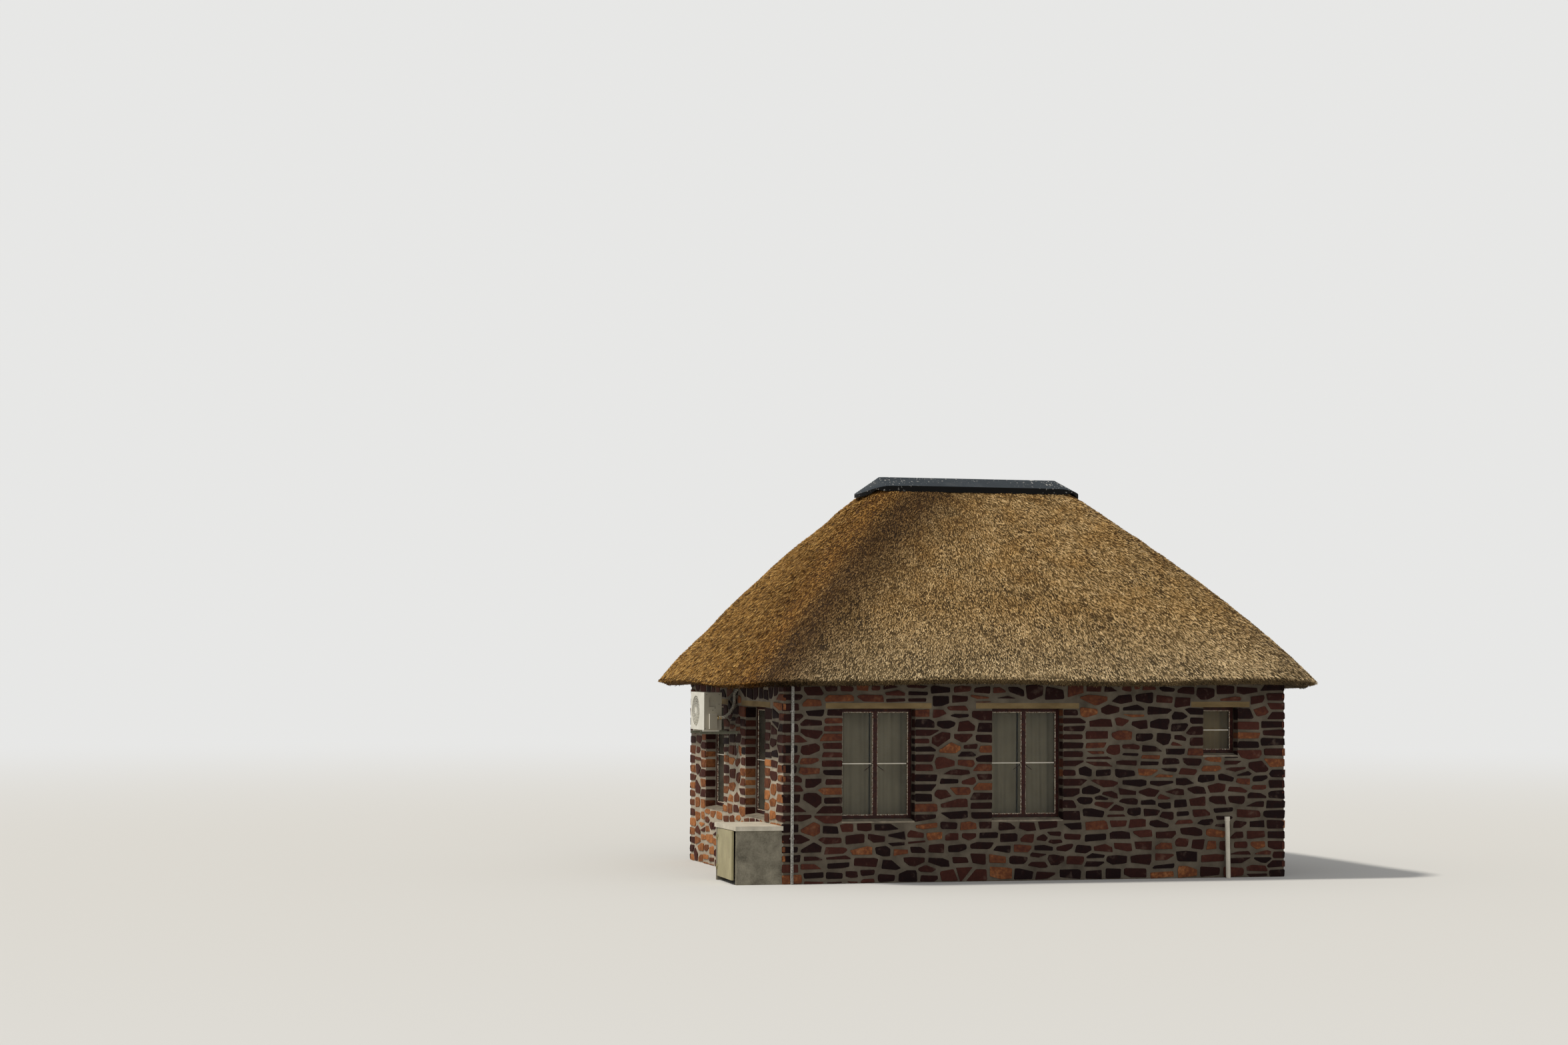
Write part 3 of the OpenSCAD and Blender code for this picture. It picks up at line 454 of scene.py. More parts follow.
def stack(low, high, dice):
    """Heights of a column of blocks, as (middle, height)."""
    made, z = [], low
    while z < high - 0.06:
        h = dice.uniform(*block_tall)
        if high - z - h < least_block:
            h = high - z
        made.append((z + h / 2, h))
        z += h
    return made


corner_stacks = [stack(0.0, wall_top, random.Random(40 + corner)) for corner in range(4)]


def frame_openings(side, dice):
    """The blocks that stones keep clear of, and the seeds of the stones beside them."""
    blocks, jambs = [], []
    for a, b, c, d, rests in openings[side]:
        blocks.append((a, b, c, d, 0.0))
        blocks.append((a - rests, b + rests, d, d + lintel_h, 0.012))
        for x, way in ((a, -1), (b, 1)):
            for z, h in stack(c, d, dice):
                jambs.append((x + way * dice.uniform(0.075, 0.125), z, x, way, h))
    return blocks, jambs


def corner_seeds(side, reach):
    k = wall_order.index(side)
    found = []
    for corner, way in ((k, -1), ((k + 1) % 4, 1)):
        for n, (z, h) in enumerate(corner_stacks[corner]):
            in_from_corner = header if (n + (way > 0)) % 2 else stretcher
            found.append((way * (reach - in_from_corner), z))
    return found


print("blocks up each corner", [len(found) for found in corner_stacks])

# %% Courses of a wall
course_tall, stone_wide, sway_by = (0.125, 0.195), (0.15, 0.34), 0.03


def course_seeds(reach, blocks, fixed, dice):
    found, z = [], 0.0
    while z < wall_top:
        course, sway = dice.uniform(*course_tall), dice.uniform(0, 6)
        x = -reach + dice.uniform(0.1, 0.3)
        while x < reach - 0.1:
            wide = dice.uniform(*stone_wide) + 0.18 * dice.random() ** 2
            at_x = x + wide / 2
            at_z = z + course / 2 + sway_by * math.sin(1.9 * x + sway) + dice.uniform(-sway_by, sway_by)
            inside = any(a - g - 0.02 < at_x < b + g + 0.02 and c - g < at_z < d + g + 0.02
                         for a, b, c, d, g in blocks)
            close = any(abs(s[0] - at_x) < 0.09 + wide / 3 and abs(s[1] - at_z) < 0.09 for s in fixed)
            if not inside and not close:
                split = course / 4 if course > 0.14 and dice.random() < 0.25 else 0
                found += [(at_x, at_z + split), (at_x, at_z - split)] if split else [(at_x, at_z)]
            x += wide
        z += course
    return found


trial = course_seeds(half_d, [], [], random.Random(1))
print("a blank end wall would have about", len(trial), "stones")

# %% [markdown]
# One function lays a wall from its seeds. Where a stone borders an opening, its second face
# turns into the reveal, so a thin stone is raised there too, and the wall looks as deep as
# it is.

# %% Lay a wall
reveal_deep, lap = 0.148, 0.002
edge_lap, foot_gap = 0.011, 0.004
joint_half, joint_more = 0.013, 0.012
relief, reveal_relief = (0.007, 0.013), 0.005


def lay_wall(side):
    dice = random.Random(7 + wall_order.index(side))
    # A low power lightens the left wall's stones as painted sunlight, and a high one darkens the other
    # walls' stones as painted shade.
    painted_light_power = 0.7 if side == "left" else 1.8
    reach = half_l if side in ("front", "back") else half_d
    to_room = wall_frame(side)
    pile = bmesh.new()
    pile.verts.layers.float.new("tone")
    blocks, jambs = frame_openings(side, dice)
    fixed = [(at_x, z) for at_x, z, x, way, h in jambs] + corner_seeds(side, reach)
    seeds = fixed + course_seeds(reach, blocks, fixed, dice)
    limits = (-reach - edge_lap, reach + edge_lap, foot_gap, wall_top - foot_gap)
    count = 0
    for n, seed in enumerate(seeds):
        bm = outline(seed, seeds, joint_half + joint_more * dice.random(), limits, blocks)
        if n >= len(fixed):
            loosen(bm, dice, limits)
        count += raise_stone(pile, bm, dice.uniform(*relief), dice, to_room, painted_light_power)
    for at_x, z, x, way, h in jambs:
        half = h / 2 - dice.uniform(0.015, 0.025)
        bm = rectangle(lap, reveal_deep, -half, half)
        turn = to_room @ Matrix(((0, 0, -way, x), (0, 1, 0, z), (-1, 0, 0, 0), (0, 0, 0, 1)))
        count += raise_stone(pile, bm, reveal_relief, dice, turn, painted_light_power, 0.012, 0.003)
    print(side, "stones", count)
    return pile


piles = {side: lay_wall(side) for side in wall_order}

# %% [markdown]
# Stone is coloured from its tone, from near-black maroon to rust, with a crust of paler lime spots and a
# rough broken grain. Separate materials could give the shades, but one ramp over a random number in each
# stone gives every shade between. The mortar behind it is the wall's own solid, grey and sandy and
# smeared. Its colour holds painted light: a pale ramp is painted sunlight on the left face below the
# eave's shadow line, a darker one is the eave's painted shadow above that line, and the darkest is painted
# shade on the other faces, so two masks by place mix three ramps.

# %% Stone and mortar finishes
stone = Finish("rubble stone", 0.85, gloss=0.08)
grain = stone.noise(26, 6)
fine = stone.noise(160, 5)
shade = stone.kept("tone") * 0.84 + (grain - 0.5) * 0.32 + (stone.noise(9, 3) - 0.5) * 0.3
body = stone.ramp(shade, (0.0, (0.010, 0.005, 0.005)), (0.35, (0.030, 0.010, 0.008)),
                  (0.62, (0.062, 0.020, 0.014)), (0.80, (0.135, 0.048, 0.021)),
                  (1.0, (0.40, 0.160, 0.055)))
crust = stone.blotch(0.60, 0.75, stone.noise(9, 8)) * 0.26
stone.put("Base Color", stone.mix(crust, body, (0.17, 0.13, 0.10)))
stone.put("Roughness", 0.72 + grain * 0.25)
stone.bump(grain * 0.7 + fine * 0.3, 0.006)


def joint_mortar(name, painted_sun_all_over):
    made = Finish(name, 0.95)
    smear, sand = made.noise(5, 6), made.noise(220, 4)
    grit = smear * 0.7 + sand * 0.3
    # Painted eave shadow above the shadow line, and painted sunlight below it.
    painted_eave_shadow = made.ramp(grit, (0.3, (0.09, 0.075, 0.056)), (0.7, (0.21, 0.178, 0.135)))
    painted_sunlit = made.ramp(grit, (0.3, (0.25, 0.215, 0.165)), (0.7, (0.48, 0.415, 0.325)))
    ragged = made.axis("Z") + smear * 0.3 - 0.15
    above = made.blotch(painted_shadow_line - 0.1, painted_shadow_line + 0.1, ragged)
    colour = made.mix(above, painted_sunlit, painted_eave_shadow)
    if not painted_sun_all_over:
        # Painted shade on every face but the left one.
        shaded = made.ramp(grit, (0.3, (0.058, 0.047, 0.035)), (0.7, (0.150, 0.126, 0.094)))
        left_face = made.blotch(0.004 - half_l, 0.002 - half_l, made.axis("X"))
        colour = made.mix(left_face, shaded, colour)
    made.put("Base Color", colour)
    made.bump(made.noise(30, 5) * 0.7 + sand * 0.3, 0.006)
    return made


dress(joint_mortar("joint mortar", False), "front_wall", "back_wall", "right_wall", "beam_filling")
# The left wall's mortar is painted sunlight below the shadow line and painted eave shadow above it.
dress(joint_mortar("painted sunlit mortar", True), "left_wall")

# %% [markdown]
# All the stones of a wall make one piece, which stands a few millimetres proud of its mortar.
# A displaced texture could fake them, but real stones catch the low light on their edges. The
# solid wall stays behind them, so nothing is replaced.

# %% Add the four stone faces
for side, pile in piles.items():
    add_piece(side + "_stones", pile, stone)

# %% [markdown]
# The thatch is a skin over rings. Every ring is a rounded rectangle, and its inset from the
# eave, in plan, decides its size, height and corner radius. These are the same rules that shape
# the solid, so the finer skin lies exactly over it. Subdividing the solid would be shorter,
# but its loose triangles give uneven faces, and the tufts need the rules as well.

# %% Heights of the roof
overhang, cut_in, cut_up, crest_half = 0.56, 0.17, 0.09, 0.20
seat_gap, pole_t, lath_t, crest_t = 0.012, 0.1, 0.025, 0.225
belly = 0.2
slope = math.sqrt(2)
eave_a, eave_b = half_l + overhang, half_d + overhang
crest_inset = eave_b - crest_half


def under_z(inset):
    return wall_top + seat_gap + inset - overhang + (pole_t + lath_t) * slope


eave_z = under_z(cut_in) + cut_up
rise = under_z(crest_inset) + crest_t - eave_z


def outer_z(inset):
    u = inset / crest_inset
    return eave_z + rise * (u + belly * u * (1 - u))


print("eave", round(eave_z, 3), "crest", round(eave_z + rise, 3))

# %% [markdown]
# A place on the roof is a turn and an inset. The turn runs from 0 to 8 round a ring, a corner
# and a straight by turns, and numpy works out thousands of places at once.

# %% Rings of the roof
eave_r, crest_r, ridge_shift = 0.9, 0.24, 0.185
eave_dip, eave_wander = 0.07, 0.022


def ring_points(t, inset, radius):
    a, b = eave_a - inset, eave_b - inset
    r = np.minimum(b - 0.001, radius)
    shift = np.minimum(0, -ridge_shift * (inset - overhang) / (crest_inset - overhang))
    quarter = np.floor(t / 2).astype(int)
    share = t - 2 * quarter

    def corner(q, f):
        q = q % 4
        sx, sy = np.array([1, -1, -1, 1])[q], np.array([1, 1, -1, -1])[q]
        angle = np.pi / 2 * (q + f)
        return np.stack([sx * (a - r) + r * np.cos(angle), sy * (b - r) + r * np.sin(angle)], -1)

    run = np.clip(share - 1, 0, 1)[:, None]
    flat = corner(quarter, np.clip(share, 0, 1)) * (1 - run) + corner(quarter + 1, 0 * share) * run
    flat[:, 0] += shift
    return flat


def stray(flat):
    """How far the eave sags towards its ends and wanders from level."""
    wave = np.sin(np.radians(flat[:, 0] * 85 + 178)) + np.sin(np.radians(flat[:, 1] * 110 + 30))
    return eave_dip * (0.5 - (np.abs(flat[:, 0]) / eave_a) ** 12) + eave_wander * wave / 1.4


corners = ring_points(np.array([0.0, 2.0, 4.0, 6.0]), np.zeros(4), eave_r)
print("eave corners start at", corners.round(2).tolist())

# %% [markdown]
# Hand-dressed thatch is never smooth. Random numbers on a lattice, blended between its points,
# give soft lumps, and two sizes of them lift and sink the surface. Blender has noise of its
# own, but it takes one point at a time, and every blade asks for several. Near the crest the
# lumps fade out, so the skin ends smoothly under the cap.

# %% Lumps of the thatch
lattice = np.random.default_rng(5).random(8192)
primes = (73856093, 19349663, 83492791)


def lumps(points, scale, seed=0):
    """Smooth random values from 0 to 1, so that near points are alike."""
    p = points * scale + seed * 17.3
    base = np.floor(p).astype(np.int64)
    f = p - base
    f = f * f * (3 - 2 * f)
    total = 0
    for corner in np.ndindex(2, 2, 2):
        key, weight = 0, 1
        for axis, far_side in enumerate(corner):
            key = key ^ ((base[:, axis] + far_side) * primes[axis])
            weight = weight * (f[:, axis] if far_side else 1 - f[:, axis])
        total = total + lattice[key & 8191] * weight
    return total


def roof_point(t, inset):
    u = np.clip(inset / crest_inset, 0, 1)
    flat = ring_points(t, inset, eave_r + (crest_r - eave_r) * u)
    z = outer_z(inset) + stray(flat) * (1 - u) ** 3
    points = np.column_stack([flat, z])
    hump = (lumps(points, 2.2) - 0.5) * 0.024 + (lumps(points, 7, 1) - 0.5) * 0.018
    from_hub = flat / np.maximum(np.linalg.norm(flat, axis=1), 1e-6)[:, None]
    out = np.column_stack([from_hub, np.ones(len(flat))])
    return points + out / slope * (hump * np.clip((1 - u) * 12, 0, 1))[:, None]


halfway = roof_point(np.linspace(0, 8, 9)[:8], np.full(8, crest_inset / 2))
print("heights half way up", halfway[:, 2].round(3).tolist())

# %% [markdown]
# The skin starts as a flat grid. One direction of the grid goes round the roof, and the other
# from the peak of the underside, down to the eave, round the cut edge and up to the crest. Each
# point then moves to its place, and the two edges that meet are welded.

# %% Places of the thatch skin
def between(low, high, count):
    return np.linspace(low, high, count, endpoint=False)


turns = np.concatenate([between(k, k + 1, (20, 64, 20, 36)[k % 4]) for k in range(8)])
peak_half, bend_at, peak_r = 0.075, 0.4, 0.15
cut_r = eave_r - cut_in
inner = np.concatenate([np.linspace(eave_b - peak_half, bend_at, 8), [0.3, 0.22]])
lip = np.linspace(0, 1, 5)
outer = crest_inset * np.linspace(0, 1, 64)[1:]
lip_start, outer_start = len(inner), len(inner) + len(lip)
rows = outer_start + len(outer)


def row_points(k, t):
    """Points of one row of the skin: the underside, the cut edge, or the outside."""
    same = np.ones(len(t))
    if k < lip_start:
        share = max(0.0, min(1.0, (bend_at - inner[k]) / (bend_at - cut_in)))
        flat = ring_points(t, same * inner[k], peak_r + (cut_r - peak_r) * share)
        return np.column_stack([flat, under_z(same * inner[k]) + stray(flat) * share])
    if k < outer_start:
        f = lip[k - lip_start]
        flat = ring_points(t, same * cut_in * (1 - f), cut_r + cut_in * f)
        rough = (lumps(np.column_stack([flat, flat[:, 0]]), 9, 2) - 0.5) * 0.03
        z = under_z(cut_in) + cut_up * f ** 0.8 + stray(flat) + rough * (1 - f) * f * 4
        return np.column_stack([flat, z])
    return roof_point(t, same * outer[k - outer_start])


print("skin rows", rows, "points in a row", len(turns))

# %% Build the thatch skin
bm = bmesh.new()
bmesh.ops.create_grid(bm, x_segments=len(turns), y_segments=rows - 1, size=1)
places = np.array([v.co[:] for v in bm.verts])
column = np.rint((places[:, 0] + 1) / 2 * len(turns)).astype(int) % len(turns)
row = np.rint((places[:, 1] + 1) / 2 * (rows - 1)).astype(int)
for k in range(rows):
    places[row == k] = row_points(k, turns[column[row == k]])
for v, place in zip(bm.verts, places):
    v.co = place
bmesh.ops.remove_doubles(bm, verts=bm.verts[:], dist=1e-5)
bmesh.ops.holes_fill(bm, edges=[e for e in bm.edges if e.is_boundary], sides=0)
bmesh.ops.recalc_face_normals(bm, faces=bm.faces[:])
thatch_mesh = mesh_of("thatch_skin", bm)
print("skin points", len(thatch_mesh.vertices))

# %% [markdown]
# The roof's colour changes by place. Its left end is golden, as painted sunlight, a dark band and an
# orange strip run up the near left hip, and the rest is tan. Each of these is worked out from a point's
# place and kept in the mesh, so the skin and the tufts on it change colour together.

# %% Marks by place, with painted sunlight
def painted_sunlit_gold(points):
    """The left end's golden reed, which is painted sunlight."""
    end = (eave_a + points[:, 0]) - (eave_b - np.abs(points[:, 1]))
    low = np.clip((4.6 - points[:, 2]) / 1.9, 0, 1)
    near = np.clip(0.5 - (end - 0.25 + 0.4 * low) / 0.7, 0, 1)
    return near * near * (3 - 2 * near)


def past_hip(points):
    """How far each point lies right of the dark band, which leaves the hip as it climbs."""
    climbed = np.clip((points[:, 2] - eave_z) / rise, 0, 1)
    return (eave_a + points[:, 0]) - (eave_b + points[:, 1]) - 0.1 - 0.45 * climbed


def hip_dark(points):
    past = past_hip(points)
    return np.exp(-(past / np.where(past < 0, 0.34, 0.8)) ** 2) * (points[:, 1] < 0)


def hip_rust(points):
    return np.exp(-((past_hip(points) + 0.55) / 0.5) ** 2) * (points[:, 1] < 0)


peak = np.array([[0.0, 0.0, eave_z + rise]])
print("at the crest", painted_sunlit_gold(peak), hip_dark(peak), hip_rust(peak))

# %% Keep the marks in a mesh
def mark_reed(mesh, points, tone):
    marks = {"tone": tone, "gold": painted_sunlit_gold(points), "band": hip_dark(points), "rust": hip_rust(points)}
    for name, values in marks.items():
        made = mesh.attributes.new(name, "FLOAT", "POINT")
        made.data.foreach_set("value", np.asarray(values, np.float32))
    return marks


def spots_of(mesh):
    spots = np.empty(len(mesh.vertices) * 3, np.float32)
    mesh.vertices.foreach_get("co", spots)
    return spots.reshape(-1, 3)


spots = spots_of(thatch_mesh)
# The skin's low tone is painted shade between the tufts.
marks = mark_reed(thatch_mesh, spots, 0.10 + 0.2 * lumps(spots, 6, 3))
print("means", {name: round(float(values.mean()), 3) for name, values in marks.items()})

# %% [markdown]
# Reed is straw: pale tan where it is fresh and grey-brown where rain has reached it. Its nearly black end
# is painted shade between the tufts. A ramp from the painted shade of the gaps to the bright ends gives
# each sort of reed, and the marks by place, with the painted sunlight of the left end among them, and the
# height choose between the sorts. One finish for skin and tufts keeps a lost tuft from showing as a hole.

# %% Reed finish
reed = Finish("thatching reed", 0.8)
level = reed.kept("tone") + (reed.noise(60, 3) - 0.5) * 0.3 + (reed.noise(1.3, 4) - 0.5) * 0.25
height = reed.axis("Z")


def straw(tone, *shades):
    steps = (0.08, 0.32, 0.55, 0.78, 1.0) if len(shades) == 5 else (0.08, 0.35, 0.6, 0.85)
    return reed.ramp(tone, *zip(steps, shades))


grey = straw(level + reed.blotch(3.2, 5.0, height) * 0.06,
             (0.022, 0.013, 0.005), (0.125, 0.073, 0.025), (0.325, 0.200, 0.074),
             (0.52, 0.345, 0.148), (0.66, 0.47, 0.24))
warm = straw(level + reed.blotch(3.6, 2.7, height) * 0.08,
             (0.026, 0.011, 0.002), (0.100, 0.047, 0.010), (0.215, 0.106, 0.023),
             (0.38, 0.205, 0.053), (0.54, 0.335, 0.11))
orange = straw(level, (0.026, 0.010, 0.002), (0.100, 0.042, 0.008), (0.215, 0.098, 0.020),
               (0.37, 0.185, 0.043), (0.50, 0.29, 0.09))
pale = straw(level, (0.034, 0.025, 0.014), (0.190, 0.138, 0.070), (0.43, 0.322, 0.178),
             (0.62, 0.495, 0.305))
# Near-black reed for the dark band up the near left hip.
near_black_reed = straw(level, (0.009, 0.004, 0.001), (0.036, 0.016, 0.004), (0.090, 0.043, 0.011),
               (0.175, 0.098, 0.037))
tawny = reed.blotch(0.44, 0.62, reed.noise(2.6, 5)) * reed.blotch(2.9, 4.4, height) * 0.6
by_height = reed.mix(reed.blotch(3.7, 2.75, height) * 0.7, reed.mix(tawny, grey, warm), pale)
# The gold mark is painted sunlight on the left end of the roof.
by_place = reed.mix(reed.kept("rust") * 0.85, reed.mix(reed.kept("gold"), by_height, warm), orange)
reed.put("Base Color", reed.mix(reed.kept("band") * 0.92, by_place, near_black_reed))
reed.bump(reed.noise(90, 5), 0.004)
add_piece("thatch_skin", thatch_mesh, reed, replaces=("thatch",), smooth=True)

# %% [markdown]
# What the eye reads as thatch is the blunt ends of thousands of small bundles. Hair could give
# them, but it isn't a mesh that another program can read. So one flat strip that narrows to
# its tip stands for a bundle. An Array modifier copies it, and numpy then puts each copy on
# the roof, pointing down the slope, rooted in the skin and lifted at its tip.

# %% Copies of a strip
def copies_of_strip(count):
    bm = bmesh.new()
    bmesh.ops.create_grid(bm, x_segments=1, y_segments=1, size=1)
    holder = bpy.data.objects.new("strip", mesh_of("strip", bm))
    bpy.context.scene.collection.objects.link(holder)
    array = holder.modifiers.new("array", "ARRAY")
    array.count = count
    array.use_relative_offset = False
    bpy.context.view_layer.update()
    seen = holder.evaluated_get(bpy.context.evaluated_depsgraph_get())
    made = bpy.data.meshes.new_from_object(seen)
    bpy.data.objects.remove(holder)
    return made


trial = copies_of_strip(10)
print("faces in ten strips", len(trial.polygons))
bpy.data.meshes.remove(trial)

# %% Lay blades of reed
chance = np.random.default_rng(11)
tip_narrower, root_sunk, curl = 0.35, 0.004, 1.9
swing_spread, roll_spread = 0.22, 0.35


def unit(v):
    return v / np.maximum(np.linalg.norm(v, axis=1), 1e-9)[:, None]


def lay_blades(name, root, down, normal, long, wide, lift, tone):
    """Each blade lies along down from its root, and normal is the way its tip lifts."""
    mesh = copies_of_strip(len(root))
    co = spots_of(mesh).reshape(len(root), 4, 3)
    along, across = (co[:, :, 1:2] + 1) / 2, co[:, :, 0:1]
    swing = chance.normal(0, swing_spread, len(root))[:, None]
    down = down * np.cos(swing) + np.cross(down, normal) * np.sin(swing)
    side = np.cross(down, normal)
    roll = chance.normal(0, roll_spread, len(root))[:, None, None]
    flat_way = side[:, None] * np.cos(roll) + normal[:, None] * np.sin(roll)
    half_wide = wide[:, None, None] / 2 * (1 - tip_narrower * along)
    raised = lift[:, None, None] * np.sin(along * curl) - root_sunk
    places = (root[:, None] + down[:, None] * along * long[:, None, None]
              + flat_way * across * half_wide + normal[:, None] * raised)
    mesh.vertices.foreach_set("co", places.reshape(-1).astype(np.float32))
    # The tone rises from root to tip, so the roots are darkened as painted shade between the tufts.
    mark_reed(mesh, places.reshape(-1, 3), np.repeat(tone, 4) + (along.reshape(-1) - 0.5) * 0.28)
    mesh.update()
    add_piece(name, mesh, reed)


print("blades turn by about", round(math.degrees(swing_spread)), "degrees")

# %% [markdown]
# The bundles must be spread evenly by area. A ring near the crest is shorter than one near the
# eave, so a random inset is kept only as often as its ring is long, and a random place along
# that ring then becomes a turn.

# %% Random places on the roof
blade_count = 190000


def scatter(count):
    inset = crest_inset * chance.random(count * 2)
    radius = eave_r + (crest_r - eave_r) * inset / crest_inset
    arc, long, short = np.pi / 2 * radius, 2 * (eave_a - inset - radius), 2 * (eave_b - inset - radius)
    whole = 4 * arc + 2 * long + 2 * short
    keep = chance.random(count * 2) < whole / whole.max()
    inset, arc, long, short, whole = (x[keep][:count] for x in (inset, arc, long, short, whole))
    spot = chance.random(len(inset)) * whole
    turn = np.zeros(len(inset))
    for q in range(4):
        for length, start in ((arc, 2 * q), (short if q % 2 else long, 2 * q + 1)):
            inside = (spot >= 0) & (spot < length)
            turn[inside] = start + spot[inside] / length[inside]
            spot = spot - length
            spot[inside] = -1
    return turn, inset


turn, inset = scatter(blade_count)
print("blades", len(turn))

# %% [markdown]
# Three nearby points of the roof give a blade its directions: one below it for the way down,
# and one beside it for the way out. Each face of the roof becomes a piece of its own, so no
# piece is too heavy. Lumps in the tone make neighbouring bundles lighter and darker together.

# %% Tufts of reed
step = 0.04
root = roof_point(turn, np.minimum(inset + 0.02, crest_inset))
below = roof_point(turn, inset - step)
aside = roof_point(np.mod(turn + 0.01, 8), np.minimum(inset + 0.02, crest_inset))
down = unit(below - root)
normal = unit(np.cross(down, unit(root - aside)))
normal *= np.sign(normal[:, 2:3] + 1e-9)
long_face = (eave_b - np.abs(root[:, 1])) < (eave_a - np.abs(root[:, 0] + 0.09))
faces = {"front": long_face & (root[:, 1] < 0), "back": long_face & (root[:, 1] >= 0),
         "left": ~long_face & (root[:, 0] < 0), "right": ~long_face & (root[:, 0] >= 0)}
clump = lumps(root, 11, 4) * 0.55 + lumps(root, 26, 5) * 0.45
for side, here in faces.items():
    n = here.sum()
    lay_blades(side + "_reed", root[here], down[here], normal[here],
               chance.uniform(0.035, 0.085, n), chance.uniform(0.009, 0.016, n),
               chance.uniform(0.006, 0.020, n),
               np.clip(clump[here] * 0.5 + chance.normal(0.33, 0.2, n), 0, 1.1))

# %% [markdown]
# The eave is the thickest mark of a thatched roof. Its cut edge shows the butts of the reed as a ragged
# band, darkened further in as painted shade under the eave. A bump would leave its outline smooth, so
# short blades of the same kind stand out of it all round, and a few hang below.

# %% Cut edge of the eave
butt_count, root_in, outwards = 26000, 0.035, 0.05
corner_share, long_share, short_share = 0.07, 0.28, 0.08
shares = (corner_share, long_share, corner_share, short_share) * 2
turn = np.concatenate([chance.uniform(q, q + 1, int(butt_count * share))
                       for q, share in enumerate(shares)])
n = len(turn)
depth = chance.random(n) ** 1.4
radius = eave_r - cut_in * depth
flat = ring_points(turn, cut_in * depth, radius)
root = np.column_stack([flat, under_z(cut_in) + cut_up * (1 - depth) ** 0.8 + stray(flat)])
beyond = ring_points(turn, cut_in * depth - outwards, radius)
out = unit(np.column_stack([beyond - flat, np.zeros(n)]))
down = unit(out * chance.uniform(0.5, 1.0, n)[:, None] - np.array([0, 0, 0.75]))
root -= down * root_in
# The tone falls with depth into the cut edge, as painted shade under the eave.
lay_blades("eave_reed", root, down, unit(out + np.array([0, 0, 0.4])),
           chance.uniform(0.035, 0.07, n), chance.uniform(0.008, 0.016, n),
           chance.uniform(0.0, 0.006, n),
           np.clip(0.42 - 0.3 * depth + chance.normal(0, 0.14, n), 0, 0.9))

# %% [markdown]
# The cap over the ridge is dark cement, smoothed with a float. Birds sit on its ends, so pale droppings
# collect there and run down a little. Its steep sides are coloured near black, picked out by the way they
# face. The solid has the right shape, so only its finish is made: masks by place and by the way the
# surface faces put each mark where it belongs, with no painting by hand.

# %% Ridge cap finish
cap = Finish("ridge cement", 0.75, gloss=0.1)
cap_middle, cap_top = -0.19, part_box("ridge_cap")[1][2]
wear, dust = cap.noise(3.5, 6), cap.noise(45, 5)
ends = cap.blotch(0.35, 1.5, (cap.axis("X") - cap_middle).math("ABSOLUTE"))
high = cap.blotch(cap_top - 0.16, cap_top - 0.01, cap.axis("Z"))
drops = cap.blotch(0.66, 0.70, cap.noise(30, 2, rough=0.4))
splash = drops * cap.blotch(0.3, 0.8, ends * 0.55 + high * 0.6)
charcoal = cap.ramp(wear * 0.7 + dust * 0.3, (0.3, (0.022, 0.027, 0.033)),
                    (0.55, (0.034, 0.042, 0.050)), (0.75, (0.065, 0.070, 0.075)))
outward = cap.node("ShaderNodeNewGeometry", out="Normal")
# Steep faces such as the lip are coloured near black by the way they face.
steep = cap.blotch(0.5, 0.25, cap.node("ShaderNodeSeparateXYZ", out="Z", Vector=outward))
cap.put("Base Color", cap.mix(splash, cap.mix(steep, charcoal, (0.005, 0.005, 0.005)), (0.62, 0.6, 0.56)))
cap.put("Roughness", 0.6 + wear * 0.3)
cap.bump(wear * 0.6 + dust * 0.4, 0.006)
dress(cap, "ridge_cap")

# %% [markdown]
# Poles, floor, lintels, sills, boards and the locker's masonry keep their solids. They are of
# different materials, yet one recipe serves: broad stains under fine grain, between a dark and
# a light colour. Only the colours, the stretch of the stains and the grain's size change.

# %% Timber, concrete and plaster finishes
def streaked(name, rough, dark, light, scale, fine_scale, depth=0.002, gloss=0.15):
    made = Finish(name, rough, gloss=gloss)
    broad = made.noise(1.0, 5, made.stretch(*scale))
    fine = made.noise(fine_scale, 5)
    middle = tuple((a + b) / 2 for a, b in zip(dark, light))
    stain = broad * 0.7 + fine * 0.3
    made.put("Base Color", made.ramp(stain, (0.32, dark), (0.5, middle), (0.68, light)))
    made.put("Roughness", rough - 0.08 + fine * 0.16)
    made.bump(broad * 0.4 + fine * 0.6, depth)
    return made


dress(streaked("gum pole", 0.75, (0.09, 0.055, 0.032), (0.30, 0.20, 0.12), (9, 9, 9), 70),
      *(side + "_rafters" for side in wall_order), "hip_poles", "ridge_pole", "wall_plates")
dress(streaked("floor screed", 0.7, (0.22, 0.20, 0.18), (0.36, 0.34, 0.31), (2, 2, 2), 90), "floor_slab")
dress(streaked("lintel concrete", 0.9, (0.115, 0.078, 0.035), (0.235, 0.168, 0.082), (2.5, 2.5, 7), 110),
      "lintels")
dress(streaked("sill mortar", 0.95, (0.11, 0.095, 0.072), (0.30, 0.255, 0.19), (9, 9, 9), 120, 0.004),
      "window_sills")
dress(streaked("varnished wood", 0.4, (0.16, 0.085, 0.04), (0.32, 0.19, 0.10), (9, 9, 9), 40),
      "curtain_rails")
dress(streaked("oiled boards", 0.5, (0.055, 0.026, 0.014), (0.15, 0.075, 0.04), (14, 14, 1.2), 60),
      "door_frame", "door_leaf")
dress(streaked("bagged masonry", 0.95, (0.085, 0.076, 0.057), (0.27, 0.245, 0.185), (5, 5, 5), 55, 0.006),
      "locker_walls")
dress(streaked("locker concrete", 0.85, (0.38, 0.345, 0.275), (0.62, 0.57, 0.465), (5, 5, 5), 140),
      "locker_top")

